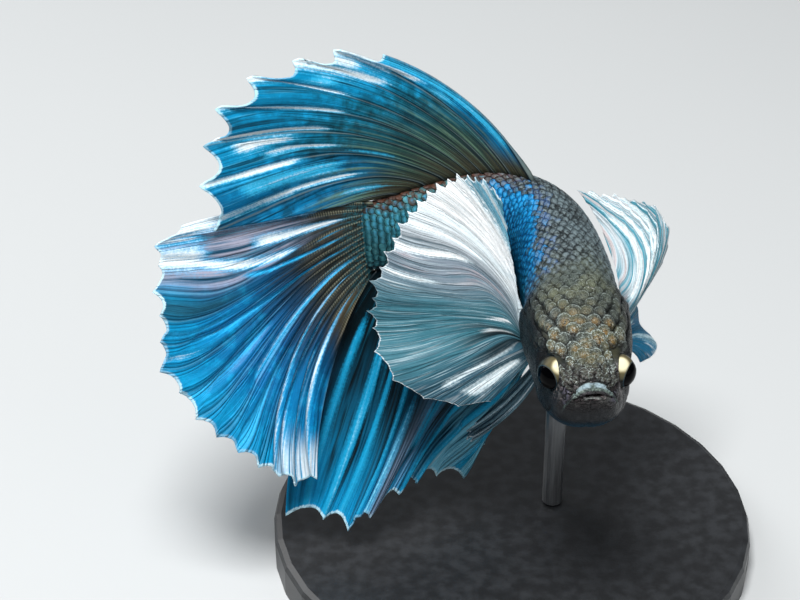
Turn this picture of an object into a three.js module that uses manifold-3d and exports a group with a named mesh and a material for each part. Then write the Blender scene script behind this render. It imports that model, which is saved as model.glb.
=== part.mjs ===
// A male betta fish with large pectoral fins, life size, turning to its right, on a plain display stand.
// Millimetres, +Z up. The origin is the centre of the underside of the stand's base, and the head points to -Y.
import * as THREE from "three";
import { mergeVertices } from "three/addons/utils/BufferGeometryUtils.js";
import Module from "manifold-3d";

// ---------- Driving dimensions ----------

const GAP = 0.3; // clearance between pieces that touch
const HEAD_LENGTH = 14; // snout to the back edge of the gill covers
const STALK_START = 35; // where the trunk ends and the tail stalk begins
const BODY_LENGTH = 47; // snout to the root of the tail fin
const SNOUT_AT = { x: 6, y: -19, z: 33 };

const EYE_RADIUS = 1.7;
const EYE_BACK = 3.7; // eye centre behind the snout
const EYE_OUT = 3.05; // eye centre from the midline
const EYE_UP = 0.5; // eye centre above the body's axis

const FIN_THICKNESS = 0.56;

const BASE_RADIUS = 26;
const BASE_HEIGHT = 4;
const BASE_EDGE = 0.8; // round on the base's upper edge
const ROD_RADIUS = 1.1;
const ROD_STATION = 20.2; // how far behind the snout the rod meets the belly

// ---------- The body's course and girth ----------

// Station behind the snout, heading of the way to the tail seen from above, and its climb, in degrees.
const COURSE = [
  { at: 0, heading: 93, climb: 0 },
  { at: 10, heading: 93, climb: 1 },
  { at: 18, heading: 96, climb: 6 },
  { at: 24, heading: 106, climb: 7 },
  { at: 30, heading: 146, climb: 3 },
  { at: 36, heading: 186, climb: -1 },
  { at: 42, heading: 198, climb: -1 },
  { at: 47, heading: 206, climb: -3 },
];

// Station, height of the back over the axis, depth of the belly under it, half width, and how square the section is.
const GIRTH = [
  { at: 0, top: 0.9, bottom: 1.0, half: 1.9, square: 2.4 },
  { at: 0.8, top: 1.4, bottom: 2.8, half: 2.7, square: 2.5 },
  { at: 2, top: 1.9, bottom: 4.4, half: 3.4, square: 2.5 },
  { at: 4, top: 2.7, bottom: 5.7, half: 4.1, square: 2.5 },
  { at: 7, top: 3.6, bottom: 6.6, half: 4.8, square: 2.4 },
  { at: 10, top: 4.4, bottom: 7.0, half: 5.2, square: 2.3 },
  { at: 13.6, top: 5.2, bottom: 7.2, half: 5.2, square: 2.2 },
  { at: 14.6, top: 5.3, bottom: 7.1, half: 4.8, square: 2.2 },
  { at: 20, top: 6.0, bottom: 7.1, half: 4.7, square: 2.1 },
  { at: 27, top: 6.2, bottom: 6.7, half: 4.2, square: 2.0 },
  { at: 34, top: 5.8, bottom: 6.0, half: 3.5, square: 2.0 },
  { at: 41, top: 4.9, bottom: 4.9, half: 2.8, square: 2.0 },
  { at: 45, top: 4.3, bottom: 4.3, half: 2.1, square: 2.0 },
  { at: 47, top: 4.3, bottom: 4.2, half: 1.4, square: 2.0 },
];

const degrees = Math.PI / 180;

// Smooth values between a list's entries, each entry placed by its "at".
function between(list, at) {
  const last = list.length - 1;
  let i = 0;
  while (i < last - 1 && list[i + 1].at < at) i += 1;
  const [a, b] = [list[i], list[i + 1]];
  const [before, after] = [list[Math.max(i - 1, 0)], list[Math.min(i + 2, last)]];
  const span = b.at - a.at;
  const t = Math.min(Math.max((at - a.at) / span, 0), 1);
  const found = {};
  for (const key of Object.keys(a)) {
    const slopeA = i === 0 ? b[key] - a[key] : (b[key] - before[key]) / (b.at - before.at) * span;
    const slopeB = i + 1 === last ? b[key] - a[key] : (after[key] - a[key]) / (after.at - a.at) * span;
    const [t2, t3] = [t * t, t * t * t];
    found[key] = (2 * t3 - 3 * t2 + 1) * a[key] + (t3 - 2 * t2 + t) * slopeA
      + (3 * t2 - 2 * t3) * b[key] + (t3 - t2) * slopeB;
  }
  return found;
}

// Axes at a station: back (to the tail), up and right (the fish's own right side).
function axesAt(station) {
  const { heading, climb } = between(COURSE, station);
  const [h, c] = [heading * degrees, climb * degrees];
  const back = new THREE.Vector3(Math.cos(h) * Math.cos(c), Math.sin(h) * Math.cos(c), Math.sin(c));
  const up = new THREE.Vector3(-Math.cos(h) * Math.sin(c), -Math.sin(h) * Math.sin(c), Math.cos(c));
  const right = new THREE.Vector3().crossVectors(up, back);
  return { back, up, right };
}

// The axis itself, added up in short steps from the snout.
const COURSE_STEP = 0.25;
const coursePoints = [new THREE.Vector3(SNOUT_AT.x, SNOUT_AT.y, SNOUT_AT.z)];
for (let s = 0; s < BODY_LENGTH + 2; s += COURSE_STEP) {
  const last = coursePoints[coursePoints.length - 1];
  coursePoints.push(last.clone().addScaledVector(axesAt(s + COURSE_STEP / 2).back, COURSE_STEP));
}

function axisPoint(station) {
  const place = Math.max(station, 0) / COURSE_STEP;
  const i = Math.min(Math.floor(place), coursePoints.length - 2);
  const point = coursePoints[i].clone().lerp(coursePoints[i + 1], place - i);
  if (station < 0) point.addScaledVector(axesAt(0).back, station);
  return point;
}

// A point given by its distances to the back, to the fish's right and up from the axis at a station.
function bodyPlace(station, right, up) {
  const axes = axesAt(station);
  return axisPoint(station).addScaledVector(axes.right, right).addScaledVector(axes.up, up);
}

// A point of the body's surface. The angle runs from the back (0) over the right side (90) to the belly (180).
function skinPoint(station, angle, proud = 0) {
  const g = between(GIRTH, station);
  const [sin, cos] = [Math.sin(angle * degrees), Math.cos(angle * degrees)];
  const power = 2 / g.square;
  const across = Math.sign(sin) * Math.abs(sin) ** power * (g.half + proud);
  const tall = Math.sign(cos) * Math.abs(cos) ** power * ((cos > 0 ? g.top : g.bottom) + proud);
  return bodyPlace(station, across, tall);
}

// ---------- Solids ----------

// A closed geometry from rings of equal size: ring k joins ring k + 1, and each end is closed by a fan.
function ringSolid(rings) {
  const size = rings[0].length;
  const points = rings.flat();
  const faces = [];
  for (let k = 0; k + 1 < rings.length; k += 1) {
    for (let j = 0; j < size; j += 1) {
      const [a, b] = [k * size + j, k * size + (j + 1) % size];
      faces.push(a, a + size, b, b, a + size, b + size);
    }
  }
  const middle = (ring) => ring.reduce((sum, p) => sum.add(p), new THREE.Vector3()).divideScalar(size);
  const [first, last] = [points.length, points.length + 1];
  const end = (rings.length - 1) * size;
  points.push(middle(rings[0]), middle(rings[rings.length - 1]));
  for (let j = 0; j < size; j += 1) {
    faces.push(first, j, (j + 1) % size);
    faces.push(last, end + (j + 1) % size, end + j);
  }
  return geometryOf(points, faces);
}

function geometryOf(points, faces) {
  const geometry = new THREE.BufferGeometry();
  const places = new Float32Array(points.flatMap((p) => [p.x, p.y, p.z]));
  geometry.setAttribute("position", new THREE.BufferAttribute(places, 3));
  geometry.setIndex(faces);
  return geometry;
}

// A stretch of the body between two stations.
function bodyStretch(from, to, rings, sides) {
  const list = [];
  for (let k = 0; k <= rings; k += 1) {
    const ring = [];
    for (let j = 0; j < sides; j += 1) ring.push(skinPoint(from + (to - from) * k / rings, 360 * j / sides));
    list.push(ring);
  }
  return ringSolid(list);
}

const wasm = await Module();
wasm.setup();

function toSolid(geometry) {
  const bare = geometry.clone();
  bare.deleteAttribute("normal");
  bare.deleteAttribute("uv");
  const merged = mergeVertices(bare, 1e-4);
  return new wasm.Manifold(new wasm.Mesh({
    numProp: 3,
    vertProperties: merged.attributes.position.array,
    triVerts: new Uint32Array(merged.index.array),
  }));
}

function toGeometry(solid) {
  const mesh = solid.getMesh();
  const geometry = new THREE.BufferGeometry();
  geometry.setAttribute("position", new THREE.BufferAttribute(mesh.vertProperties.slice(), 3));
  geometry.setIndex(Array.from(mesh.triVerts));
  return geometry;
}

// An ellipsoid in the head, its radii along the head's back, right and up axes.
function headBall(station, right, up, radii, around = 14) {
  const axes = axesAt(HEAD_LENGTH / 2);
  const ball = new THREE.SphereGeometry(1, around, Math.round(around * 0.6));
  ball.scale(...radii);
  ball.applyMatrix4(new THREE.Matrix4().makeBasis(axes.back, axes.right, axes.up));
  const centre = bodyPlace(station, right, up);
  return ball.translate(centre.x, centre.y, centre.z);
}

// ---------- Head, lower jaw, gill covers and eyes ----------

// The side view of the lower jaw: its edge along the mouth, the jaw joint and the throat.
const JAW = [[-2, 0.15], [2.6, -0.35], [4.4, -2.2], [6.8, -7.5], [-2, -7.5]];

// A block through the whole head with a side view given as (station, up) corners.
function headBlock(corners) {
  const axes = axesAt(HEAD_LENGTH / 2);
  const outline = new THREE.Shape(corners.map(([s, up]) => new THREE.Vector2(s, up)));
  const block = new THREE.ExtrudeGeometry(outline, { depth: 20, bevelEnabled: false });
  block.translate(0, 0, -10);
  const basis = new THREE.Matrix4().makeBasis(axes.back, axes.up, axes.right.clone().negate());
  block.applyMatrix4(basis);
  const snout = axisPoint(0);
  return block.translate(snout.x, snout.y, snout.z);
}

const roundCheek = [10.4, -1.6, [3.9, 3.2, 4.3]]; // gill cover: station, height, radii
const socket = EYE_RADIUS + GAP;

let head = toSolid(bodyStretch(0, HEAD_LENGTH, 12, 24));
const jawCut = JAW.map(([s, up], i) => [s + (i === 2 || i === 3 ? GAP : 0), up + (i < 2 ? GAP : 0)]);
let lowerJaw = head.intersect(toSolid(headBlock(JAW)));
head = head.subtract(toSolid(headBlock(jawCut)));

const covers = {};
const eyes = {};
for (const [side, sign] of [["right", 1], ["left", -1]]) {
  eyes[side] = headBall(EYE_BACK, sign * EYE_OUT, EYE_UP, [EYE_RADIUS, EYE_RADIUS, EYE_RADIUS]);
  const hollow = toSolid(headBall(EYE_BACK, sign * EYE_OUT, EYE_UP, [socket, socket, socket]));
  head = head.subtract(hollow);
  lowerJaw = lowerJaw.subtract(hollow);
  const [station, up, radii] = roundCheek;
  covers[side] = head.intersect(toSolid(headBall(station, sign * 4.9, up, radii)));
  head = head.subtract(toSolid(headBall(station, sign * 4.9, up, radii.map((r) => r + GAP))));
}

// ---------- Fins ----------

// A fin is a pleated sheet between rays. Each key ray has its place along the fin's root (0 to 1) and:
//   rake: angle of the ray in the fin's plane at the root, from "out" towards "along"
//   sweep: how much that angle grows from root to tip
//   side: angle out of the plane at the root, towards "face"
//   lean: how much that angle grows from root to tip
//   length: of the ray
// rootAt(u) gives the root's point and the three axes there. The fin has this many main rays, each standing
// out as a point of the edge, and folds columns from one to the next. The edge is cut back by notch between rays.
function finSolid({ rootAt, rays, count, folds, rows, notch, pleat }) {
  const columns = (count - 1) * folds;
  const sheet = [];
  for (let c = 0; c <= columns; c += 1) {
    const u = c / columns;
    const ray = between(rays, u);
    const root = rootAt(u);
    const length = ray.length * (1 - notch * Math.sin(Math.PI * (c % folds) / folds));
    const path = [root.point];
    for (let r = 0; r < rows; r += 1) {
      const t = (r + 0.5) / rows;
      const rake = (ray.rake + ray.sweep * t) * degrees;
      const side = (ray.side + ray.lean * t) * degrees;
      const step = new THREE.Vector3()
        .addScaledVector(root.out, Math.cos(side) * Math.cos(rake))
        .addScaledVector(root.along, Math.cos(side) * Math.sin(rake))
        .addScaledVector(root.face, Math.sin(side));
      path.push(path[r].clone().addScaledVector(step, length / rows));
    }
    sheet.push(path);
  }
  const normalAt = (c, r) => {
    const across = new THREE.Vector3().subVectors(sheet[Math.min(c + 1, columns)][r], sheet[Math.max(c - 1, 0)][r]);
    const down = new THREE.Vector3().subVectors(sheet[c][Math.min(r + 1, rows)], sheet[c][Math.max(r - 1, 0)]);
    return across.cross(down).normalize();
  };
  const [fronts, backs] = [[], []];
  for (let c = 0; c <= columns; c += 1) {
    for (let r = 0; r <= rows; r += 1) {
      const normal = normalAt(c, r);
      const fold = pleat * Math.cos(2 * Math.PI * c / folds) * Math.min(1.5 * r / rows, 1);
      fronts.push(sheet[c][r].clone().addScaledVector(normal, fold + FIN_THICKNESS / 2));
      backs.push(sheet[c][r].clone().addScaledVector(normal, fold - FIN_THICKNESS / 2));
    }
  }
  const wide = rows + 1;
  const half = fronts.length;
  const faces = [];
  const quad = (a, b, c, d) => faces.push(a, b, c, a, c, d);
  for (let c = 0; c < columns; c += 1) {
    for (let r = 0; r < rows; r += 1) {
      const a = c * wide + r;
      quad(a, a + wide, a + wide + 1, a + 1);
      quad(half + a, half + a + 1, half + a + wide + 1, half + a + wide);
    }
    const [tip, root] = [c * wide + rows, c * wide];
    quad(tip, tip + wide, half + tip + wide, half + tip);
    quad(root + wide, root, half + root, half + root + wide);
  }
  for (let r = 0; r < rows; r += 1) {
    const [first, last] = [r, columns * wide + r];
    quad(first, first + 1, half + first + 1, half + first);
    quad(last + 1, last, half + last, half + last + 1);
  }
  return geometryOf([...fronts, ...backs], faces);
}

// The dorsal fin stands on the back.
const dorsalRoot = (u) => {
  const station = 29.6 + 16.2 * u;
  const axes = axesAt(station);
  return { point: skinPoint(station, 0, GAP), out: axes.up, along: axes.back, face: axes.right };
};
const DORSAL_RAYS = [
  { at: 0, rake: 45, sweep: 10, side: -2, lean: 46, length: 20.7 },
  { at: 0.14, rake: 43, sweep: 18, side: -4, lean: 41, length: 23.2 },
  { at: 0.29, rake: 41, sweep: 26, side: -4, lean: 27, length: 24.8 },
  { at: 0.43, rake: 44, sweep: 25, side: -4, lean: 20, length: 26.5 },
  { at: 0.57, rake: 49, sweep: 25, side: -3, lean: 17, length: 26.7 },
  { at: 0.71, rake: 55, sweep: 25, side: -3, lean: 15, length: 25.4 },
  { at: 0.86, rake: 72, sweep: 4, side: -1, lean: 11, length: 22.7 },
  { at: 1, rake: 84, sweep: -2, side: 0, lean: 2, length: 17.8 },
];

// The anal fin hangs from the belly and the underside of the tail stalk.
const analRoot = (u) => {
  const station = 22.4 + 24 * u;
  const axes = axesAt(station);
  return { point: skinPoint(station, 180, GAP), out: axes.up.clone().negate(), along: axes.back, face: axes.right };
};
const ANAL_RAYS = [
  { at: 0, rake: 10, sweep: -15, side: 16, lean: 10, length: 19.1 },
  { at: 0.12, rake: 1, sweep: -25, side: 21, lean: 12, length: 21.9 },
  { at: 0.25, rake: 6, sweep: -15, side: 29, lean: 10, length: 22.9 },
  { at: 0.38, rake: 11, sweep: 2, side: 34, lean: 5, length: 24.1 },
  { at: 0.5, rake: 18, sweep: 14, side: 36, lean: 0, length: 25.5 },
  { at: 0.62, rake: 23, sweep: 18, side: 35, lean: -4, length: 27.9 },
  { at: 0.75, rake: 20, sweep: 21, side: 30, lean: -2, length: 30.1 },
  { at: 0.88, rake: 23, sweep: 17, side: 21, lean: 4, length: 28.1 },
  { at: 1, rake: 48, sweep: -31, side: 8, lean: 18, length: 27.7 },
];

// The tail fin fans out behind the stalk, from its upper ray (0) to its lower one (1).
const tailRoot = (u) => {
  const axes = axesAt(BODY_LENGTH);
  const height = 3.9 - 7.8 * u;
  return { point: bodyPlace(BODY_LENGTH + GAP, 0, height), out: axes.back, along: axes.up, face: axes.right };
};
const TAIL_RAYS = [
  { at: 0, rake: 12, sweep: -11, side: -10, lean: 15, length: 19.8 },
  { at: 0.08, rake: 10, sweep: -9, side: -7, lean: 13, length: 22.6 },
  { at: 0.16, rake: 7, sweep: -8, side: -4, lean: 12, length: 23.4 },
  { at: 0.3, rake: 3, sweep: -13, side: 3, lean: 11, length: 25.2 },
  { at: 0.45, rake: -1, sweep: -23, side: 7, lean: 11, length: 26.4 },
  { at: 0.6, rake: -3, sweep: -42, side: 9, lean: 17, length: 26.4 },
  { at: 0.72, rake: -6, sweep: -53, side: 12, lean: 20, length: 25.9 },
  { at: 0.86, rake: -19, sweep: -50, side: 18, lean: 14, length: 25 },
  { at: 1, rake: -34, sweep: -42, side: 26, lean: -1, length: 22.8 },
];

// The pectoral fins spread from short roots behind the gill covers.
const PECTORAL_STATION = 15.3;
const pectoralRoot = (sign) => (u) => {
  const axes = axesAt(PECTORAL_STATION);
  const point = skinPoint(PECTORAL_STATION + 0.6 * u, sign * (97 + 45 * u), 1.5 * GAP);
  return { point, out: axes.right.clone().multiplyScalar(sign), along: axes.up, face: axes.back };
};
const PECTORAL_RIGHT_RAYS = [
  { at: 0, rake: 85, sweep: -8, side: 48, lean: -26, length: 12.5 },
  { at: 0.1, rake: 75, sweep: -2, side: 41, lean: -20, length: 15.3 },
  { at: 0.2, rake: 65, sweep: 4, side: 35, lean: -12, length: 17 },
  { at: 0.32, rake: 56, sweep: 0, side: 30, lean: -6, length: 17.3 },
  { at: 0.44, rake: 49, sweep: -10, side: 25, lean: -5, length: 17.5 },
  { at: 0.56, rake: 43, sweep: -24, side: 18, lean: -3, length: 17.4 },
  { at: 0.68, rake: 36, sweep: -36, side: 11, lean: -2, length: 17.4 },
  { at: 0.8, rake: 26, sweep: -42, side: 2, lean: 4, length: 16.8 },
  { at: 0.88, rake: 4, sweep: -19, side: -21, lean: 16, length: 14.7 },
  { at: 0.94, rake: -12, sweep: -13, side: -31, lean: 16, length: 10.8 },
  { at: 1, rake: -30, sweep: -2, side: -41, lean: 14, length: 7.2 },
];
const PECTORAL_LEFT_RAYS = [
  { at: 0, rake: 70, sweep: 90, side: 77, lean: -14, length: 17.1 },
  { at: 0.1, rake: 49, sweep: 102, side: 64, lean: 10, length: 15.9 },
  { at: 0.2, rake: 38, sweep: 98, side: 52, lean: 29, length: 15.9 },
  { at: 0.3, rake: 36, sweep: 76, side: 41, lean: 46, length: 16.3 },
  { at: 0.4, rake: 37, sweep: 46, side: 34, lean: 51, length: 16.2 },
  { at: 0.5, rake: 40, sweep: 17, side: 33, lean: 40, length: 15.5 },
  { at: 0.6, rake: 42, sweep: 0, side: 33, lean: 28, length: 13.9 },
  { at: 0.7, rake: 41, sweep: -17, side: 35, lean: 22, length: 11.8 },
  { at: 0.78, rake: 37, sweep: -21, side: 37, lean: 23, length: 9.6 },
  { at: 0.85, rake: 27, sweep: -32, side: 42, lean: 24, length: 7.3 },
  { at: 0.91, rake: 11, sweep: -57, side: 41, lean: 6, length: 7.4 },
  { at: 0.96, rake: -1, sweep: -61, side: 39, lean: -21, length: 9.4 },
  { at: 1, rake: -7, sweep: -66, side: 29, lean: -13, length: 7.3 },
];

// The pelvic fins are two narrow blades under the chest.
const pelvicRoot = (sign) => (u) => {
  const station = 16 + 1.2 * u;
  const axes = axesAt(station);
  const point = skinPoint(station, sign * 160, GAP);
  return { point, out: axes.up.clone().negate(), along: axes.back, face: axes.right.clone().multiplyScalar(sign) };
};
const PELVIC_RIGHT_RAYS = [
  { at: 0, rake: -13, sweep: 15, side: 20, lean: 36, length: 13.3 },
  { at: 0.5, rake: -11, sweep: 16, side: 28, lean: 21, length: 13.3 },
  { at: 1, rake: -7, sweep: 19, side: 37, lean: -4, length: 12.5 },
];
const PELVIC_LEFT_RAYS = [
  { at: 0, rake: 50, sweep: 5, side: 14, lean: -4, length: 11.5 },
  { at: 0.5, rake: 54, sweep: 5, side: 12, lean: -2, length: 9.5 },
  { at: 1, rake: 58, sweep: 5, side: 10, lean: 0, length: 6.5 },
];

// ---------- Display stand ----------

const baseProfile = [
  new THREE.Vector2(0, 0),
  new THREE.Vector2(BASE_RADIUS, 0),
  new THREE.Vector2(BASE_RADIUS, BASE_HEIGHT - BASE_EDGE),
  new THREE.Vector2(BASE_RADIUS - BASE_EDGE * 0.3, BASE_HEIGHT - BASE_EDGE * 0.3),
  new THREE.Vector2(BASE_RADIUS - BASE_EDGE, BASE_HEIGHT),
  new THREE.Vector2(0, BASE_HEIGHT),
];
const standBase = new THREE.LatheGeometry(baseProfile, 36).rotateX(Math.PI / 2);

const rodTop = skinPoint(ROD_STATION, 180, GAP);
const rodLength = rodTop.z - BASE_HEIGHT - GAP;
const standRod = new THREE.CylinderGeometry(ROD_RADIUS, ROD_RADIUS, rodLength, 16).rotateX(Math.PI / 2);
standRod.translate(rodTop.x, rodTop.y, BASE_HEIGHT + GAP + rodLength / 2);

// ---------- The model ----------

const model = new THREE.Group();

function add(name, geometry, color, roughness, metalness) {
  const mesh = new THREE.Mesh(geometry, new THREE.MeshStandardMaterial({ color, roughness, metalness }));
  mesh.name = name;
  model.add(mesh);
}

add("head", toGeometry(head), 0x6f6a5c, 0.5, 0.1);
add("lower_jaw", toGeometry(lowerJaw), 0x4f5a60, 0.5, 0.1);
add("gill_cover_right", toGeometry(covers.right), 0x4a4f52, 0.45, 0.2);
add("gill_cover_left", toGeometry(covers.left), 0x4a4f52, 0.45, 0.2);
add("eye_right", eyes.right, 0x14181f, 0.1, 0);
add("eye_left", eyes.left, 0x14181f, 0.1, 0);
add("trunk", bodyStretch(HEAD_LENGTH + GAP, STALK_START, 10, 26), 0x3f6f9f, 0.4, 0.3);
add("tail_stalk", bodyStretch(STALK_START + GAP, BODY_LENGTH, 7, 26), 0x4e93a0, 0.4, 0.3);
add("dorsal_fin", finSolid({ rootAt: dorsalRoot, rays: DORSAL_RAYS, count: 8, folds: 5, rows: 6, notch: 0.1, pleat: 0.35 }),
  0x2a8fc8, 0.45, 0.2);
add("anal_fin", finSolid({ rootAt: analRoot, rays: ANAL_RAYS, count: 9, folds: 4, rows: 6, notch: 0.06, pleat: 0.28 }),
  0x1c7fae, 0.45, 0.2);
add("tail_fin", finSolid({ rootAt: tailRoot, rays: TAIL_RAYS, count: 14, folds: 3, rows: 7, notch: 0.035, pleat: 0.35 }),
  0x2b8fd6, 0.45, 0.2);
add("pectoral_fin_right",
  finSolid({ rootAt: pectoralRoot(1), rays: PECTORAL_RIGHT_RAYS, count: 17, folds: 2, rows: 6, notch: 0.05, pleat: 0.12 }),
  0xe8eef2, 0.5, 0);
add("pectoral_fin_left",
  finSolid({ rootAt: pectoralRoot(-1), rays: PECTORAL_LEFT_RAYS, count: 16, folds: 2, rows: 6, notch: 0.05, pleat: 0.12 }),
  0xe8eef2, 0.5, 0);
add("pelvic_fin_right",
  finSolid({ rootAt: pelvicRoot(1), rays: PELVIC_RIGHT_RAYS, count: 4, folds: 2, rows: 5, notch: 0.05, pleat: 0.1 }),
  0x9fc4d4, 0.5, 0.1);
add("pelvic_fin_left",
  finSolid({ rootAt: pelvicRoot(-1), rays: PELVIC_LEFT_RAYS, count: 4, folds: 2, rows: 5, notch: 0.05, pleat: 0.1 }),
  0x9fc4d4, 0.5, 0.1);
add("stand_base", standBase, 0x1b1c1e, 0.4, 0);
add("stand_rod", standRod, 0xb9bcc0, 0.3, 0.9);

export default model;
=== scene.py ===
# A life-size male betta fish on a display stand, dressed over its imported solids.
# Lengths in the sections are millimetres until a mesh is finished, when it becomes metres.
import functools
import math
import random

import bmesh
import bpy
from mathutils import Matrix, Vector, noise


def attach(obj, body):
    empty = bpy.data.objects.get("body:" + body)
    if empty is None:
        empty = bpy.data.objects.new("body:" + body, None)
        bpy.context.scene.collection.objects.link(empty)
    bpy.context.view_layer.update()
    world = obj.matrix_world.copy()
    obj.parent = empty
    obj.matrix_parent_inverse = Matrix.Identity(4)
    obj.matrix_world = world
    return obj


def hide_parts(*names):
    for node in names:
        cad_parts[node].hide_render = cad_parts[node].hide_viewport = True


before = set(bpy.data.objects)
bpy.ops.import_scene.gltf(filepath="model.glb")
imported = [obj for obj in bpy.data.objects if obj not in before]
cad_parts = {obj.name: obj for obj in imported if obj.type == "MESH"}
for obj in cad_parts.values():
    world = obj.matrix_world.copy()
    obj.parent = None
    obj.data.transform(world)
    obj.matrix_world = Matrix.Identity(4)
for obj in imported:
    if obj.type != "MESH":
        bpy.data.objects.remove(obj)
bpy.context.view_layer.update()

# ---------- Skin ----------
# One wet, rubbery skin covers the head, jaws, gill covers, trunk and tail stalk.
# It is drawn round the curved backbone in rings, from the tip of the snout to the root of the tail fin,
# and carries the lips, nostrils, eye sockets and the free edges of the gill covers.

BODY_LENGTH = 47.0
SKIN_LENGTH = 48.5  # the stalk's flesh runs out a little way onto the tail fin
SNOUT = Vector((6, -19, 33))
SNOUT_BULGE = 0.45
COAT_DEPTH = 0.16  # the scales fill this much between the skin and the true outline
METRES = 0.001  # in a millimetre
MAP_LENGTH = 50  # the length of fish that the Body map spans
LEFT_FLANK_LOWER = 55  # degrees by which the azure starts lower on the left flank

# station behind the snout, heading of the way to the tail, its climb
COURSE = [
    (0, 93, 0), (10, 93, 1), (18, 96, 6), (24, 106, 7), (30, 146, 3), (36, 186, -1), (42, 198, -1),
    (47, 206, -3),
]
# station, back above the axis, belly below it, half width, squareness of the section
GIRTH = [
    (0, 0.9, 1.0, 1.9, 2.4), (0.8, 1.4, 2.8, 2.7, 2.5), (2, 1.9, 4.4, 3.4, 2.5), (4, 2.7, 5.7, 4.1, 2.5),
    (7, 3.6, 6.6, 4.8, 2.4), (10, 4.4, 7.0, 5.2, 2.3), (13.6, 5.2, 7.2, 5.2, 2.2), (14.6, 5.3, 7.1, 4.8, 2.2),
    (20, 6.0, 7.1, 4.7, 2.1), (27, 6.2, 6.7, 4.2, 2.0), (34, 5.8, 6.0, 3.5, 2.0), (41, 4.9, 4.9, 2.8, 2.0),
    (45, 4.3, 4.3, 2.1, 2.0), (47, 4.3, 4.2, 1.4, 2.0),
]


def between(keys, at):
    """Smooth values between the keys, each key placed by its first number."""
    last = len(keys) - 1
    i = 0
    while i < last - 1 and keys[i + 1][0] < at:
        i += 1
    a, b = keys[i], keys[i + 1]
    before, after = keys[max(i - 1, 0)], keys[min(i + 2, last)]
    span = b[0] - a[0]
    t = min(max((at - a[0]) / span, 0), 1)
    found = []
    for n in range(len(a)):
        leave = b[n] - a[n] if i == 0 else (b[n] - before[n]) / (b[0] - before[0]) * span
        reach = b[n] - a[n] if i + 1 == last else (after[n] - a[n]) / (after[0] - a[0]) * span
        found.append(
            (2 * t**3 - 3 * t**2 + 1) * a[n] + (t**3 - 2 * t**2 + t) * leave
            + (3 * t**2 - 2 * t**3) * b[n] + (t**3 - t**2) * reach
        )
    return found


def ease(value, low, high):
    """0 below low, 1 above high and a smooth rise between them."""
    t = min(max((value - low) / (high - low), 0), 1)
    return t * t * (3 - 2 * t)


def bell(value, width):
    """1 where the value is 0, falling smoothly on both sides."""
    return math.exp(-((value / width) ** 2))


@functools.lru_cache(maxsize=None)
def axes_at(station):
    """The ways to the back, up and to the fish's right at a station."""
    _, heading, climb = between(COURSE, station)
    h, c = math.radians(heading), math.radians(climb)
    back = Vector((math.cos(h) * math.cos(c), math.sin(h) * math.cos(c), math.sin(c)))
    up = Vector((-math.cos(h) * math.sin(c), -math.sin(h) * math.sin(c), math.cos(c)))
    return back, up, up.cross(back)


@functools.lru_cache(maxsize=None)
def girth_at(station):
    """Back, belly, half width and squareness of the section at a station."""
    return between(GIRTH, min(max(station, 0), BODY_LENGTH))[1:]


BACKBONE_STEP = 0.25
backbone = [SNOUT]
while len(backbone) * BACKBONE_STEP < SKIN_LENGTH + 1:
    halfway = (len(backbone) - 0.5) * BACKBONE_STEP
    backbone.append(backbone[-1] + axes_at(halfway)[0] * BACKBONE_STEP)


def body_place(station, right, up):
    """A point given by its distances along the backbone, to the fish's right and above the backbone."""
    place = max(station, 0) / BACKBONE_STEP
    i = min(int(place), len(backbone) - 2)
    point = backbone[i].lerp(backbone[i + 1], place - i)
    back, high, side = axes_at(round(max(station, 0), 3))
    return point + back * min(station, 0) + side * right + high * up


EYE_RADIUS = 1.7
EYE_AT = {1: (3.05, 0.5, 3.7), -1: (-3.05, 0.5, 3.7)}  # right, up, station
EYE_OUT = {1: Vector((0.96, 0.153, -0.235)).normalized(), -1: Vector((-0.96, 0.153, -0.235)).normalized()}
LID_DEPTH = 0.12
MOUTH_HALF = 2.35
MOUTH_MIDDLE = -0.2  # the pout is a little to the fish's left
LIP_ARC = (1.22, 0.1, 0.04)  # height in the middle, then its fall with the second and fourth power
MOUTH_LINE = (0.42, 0.1, 0.016)
NOSTRIL = (1.95, 0.78)  # right, up
SNOUT_BUMP = (2.35, 0.95, 1.7)  # right, up, station


def arched(arc, square):
    """Height of an arch at the square of the distance from its middle."""
    return arc[0] - arc[1] * square - arc[2] * square * square


def lip_arc(right):
    """Height of the upper lip's outer edge, seen from the front, with its notch."""
    return arched(LIP_ARC, right * right) - 0.12 * bell(right, 0.3)


def mouth_line(right):
    """Height of the line where the lips meet."""
    return arched(MOUTH_LINE, right * right)


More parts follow.
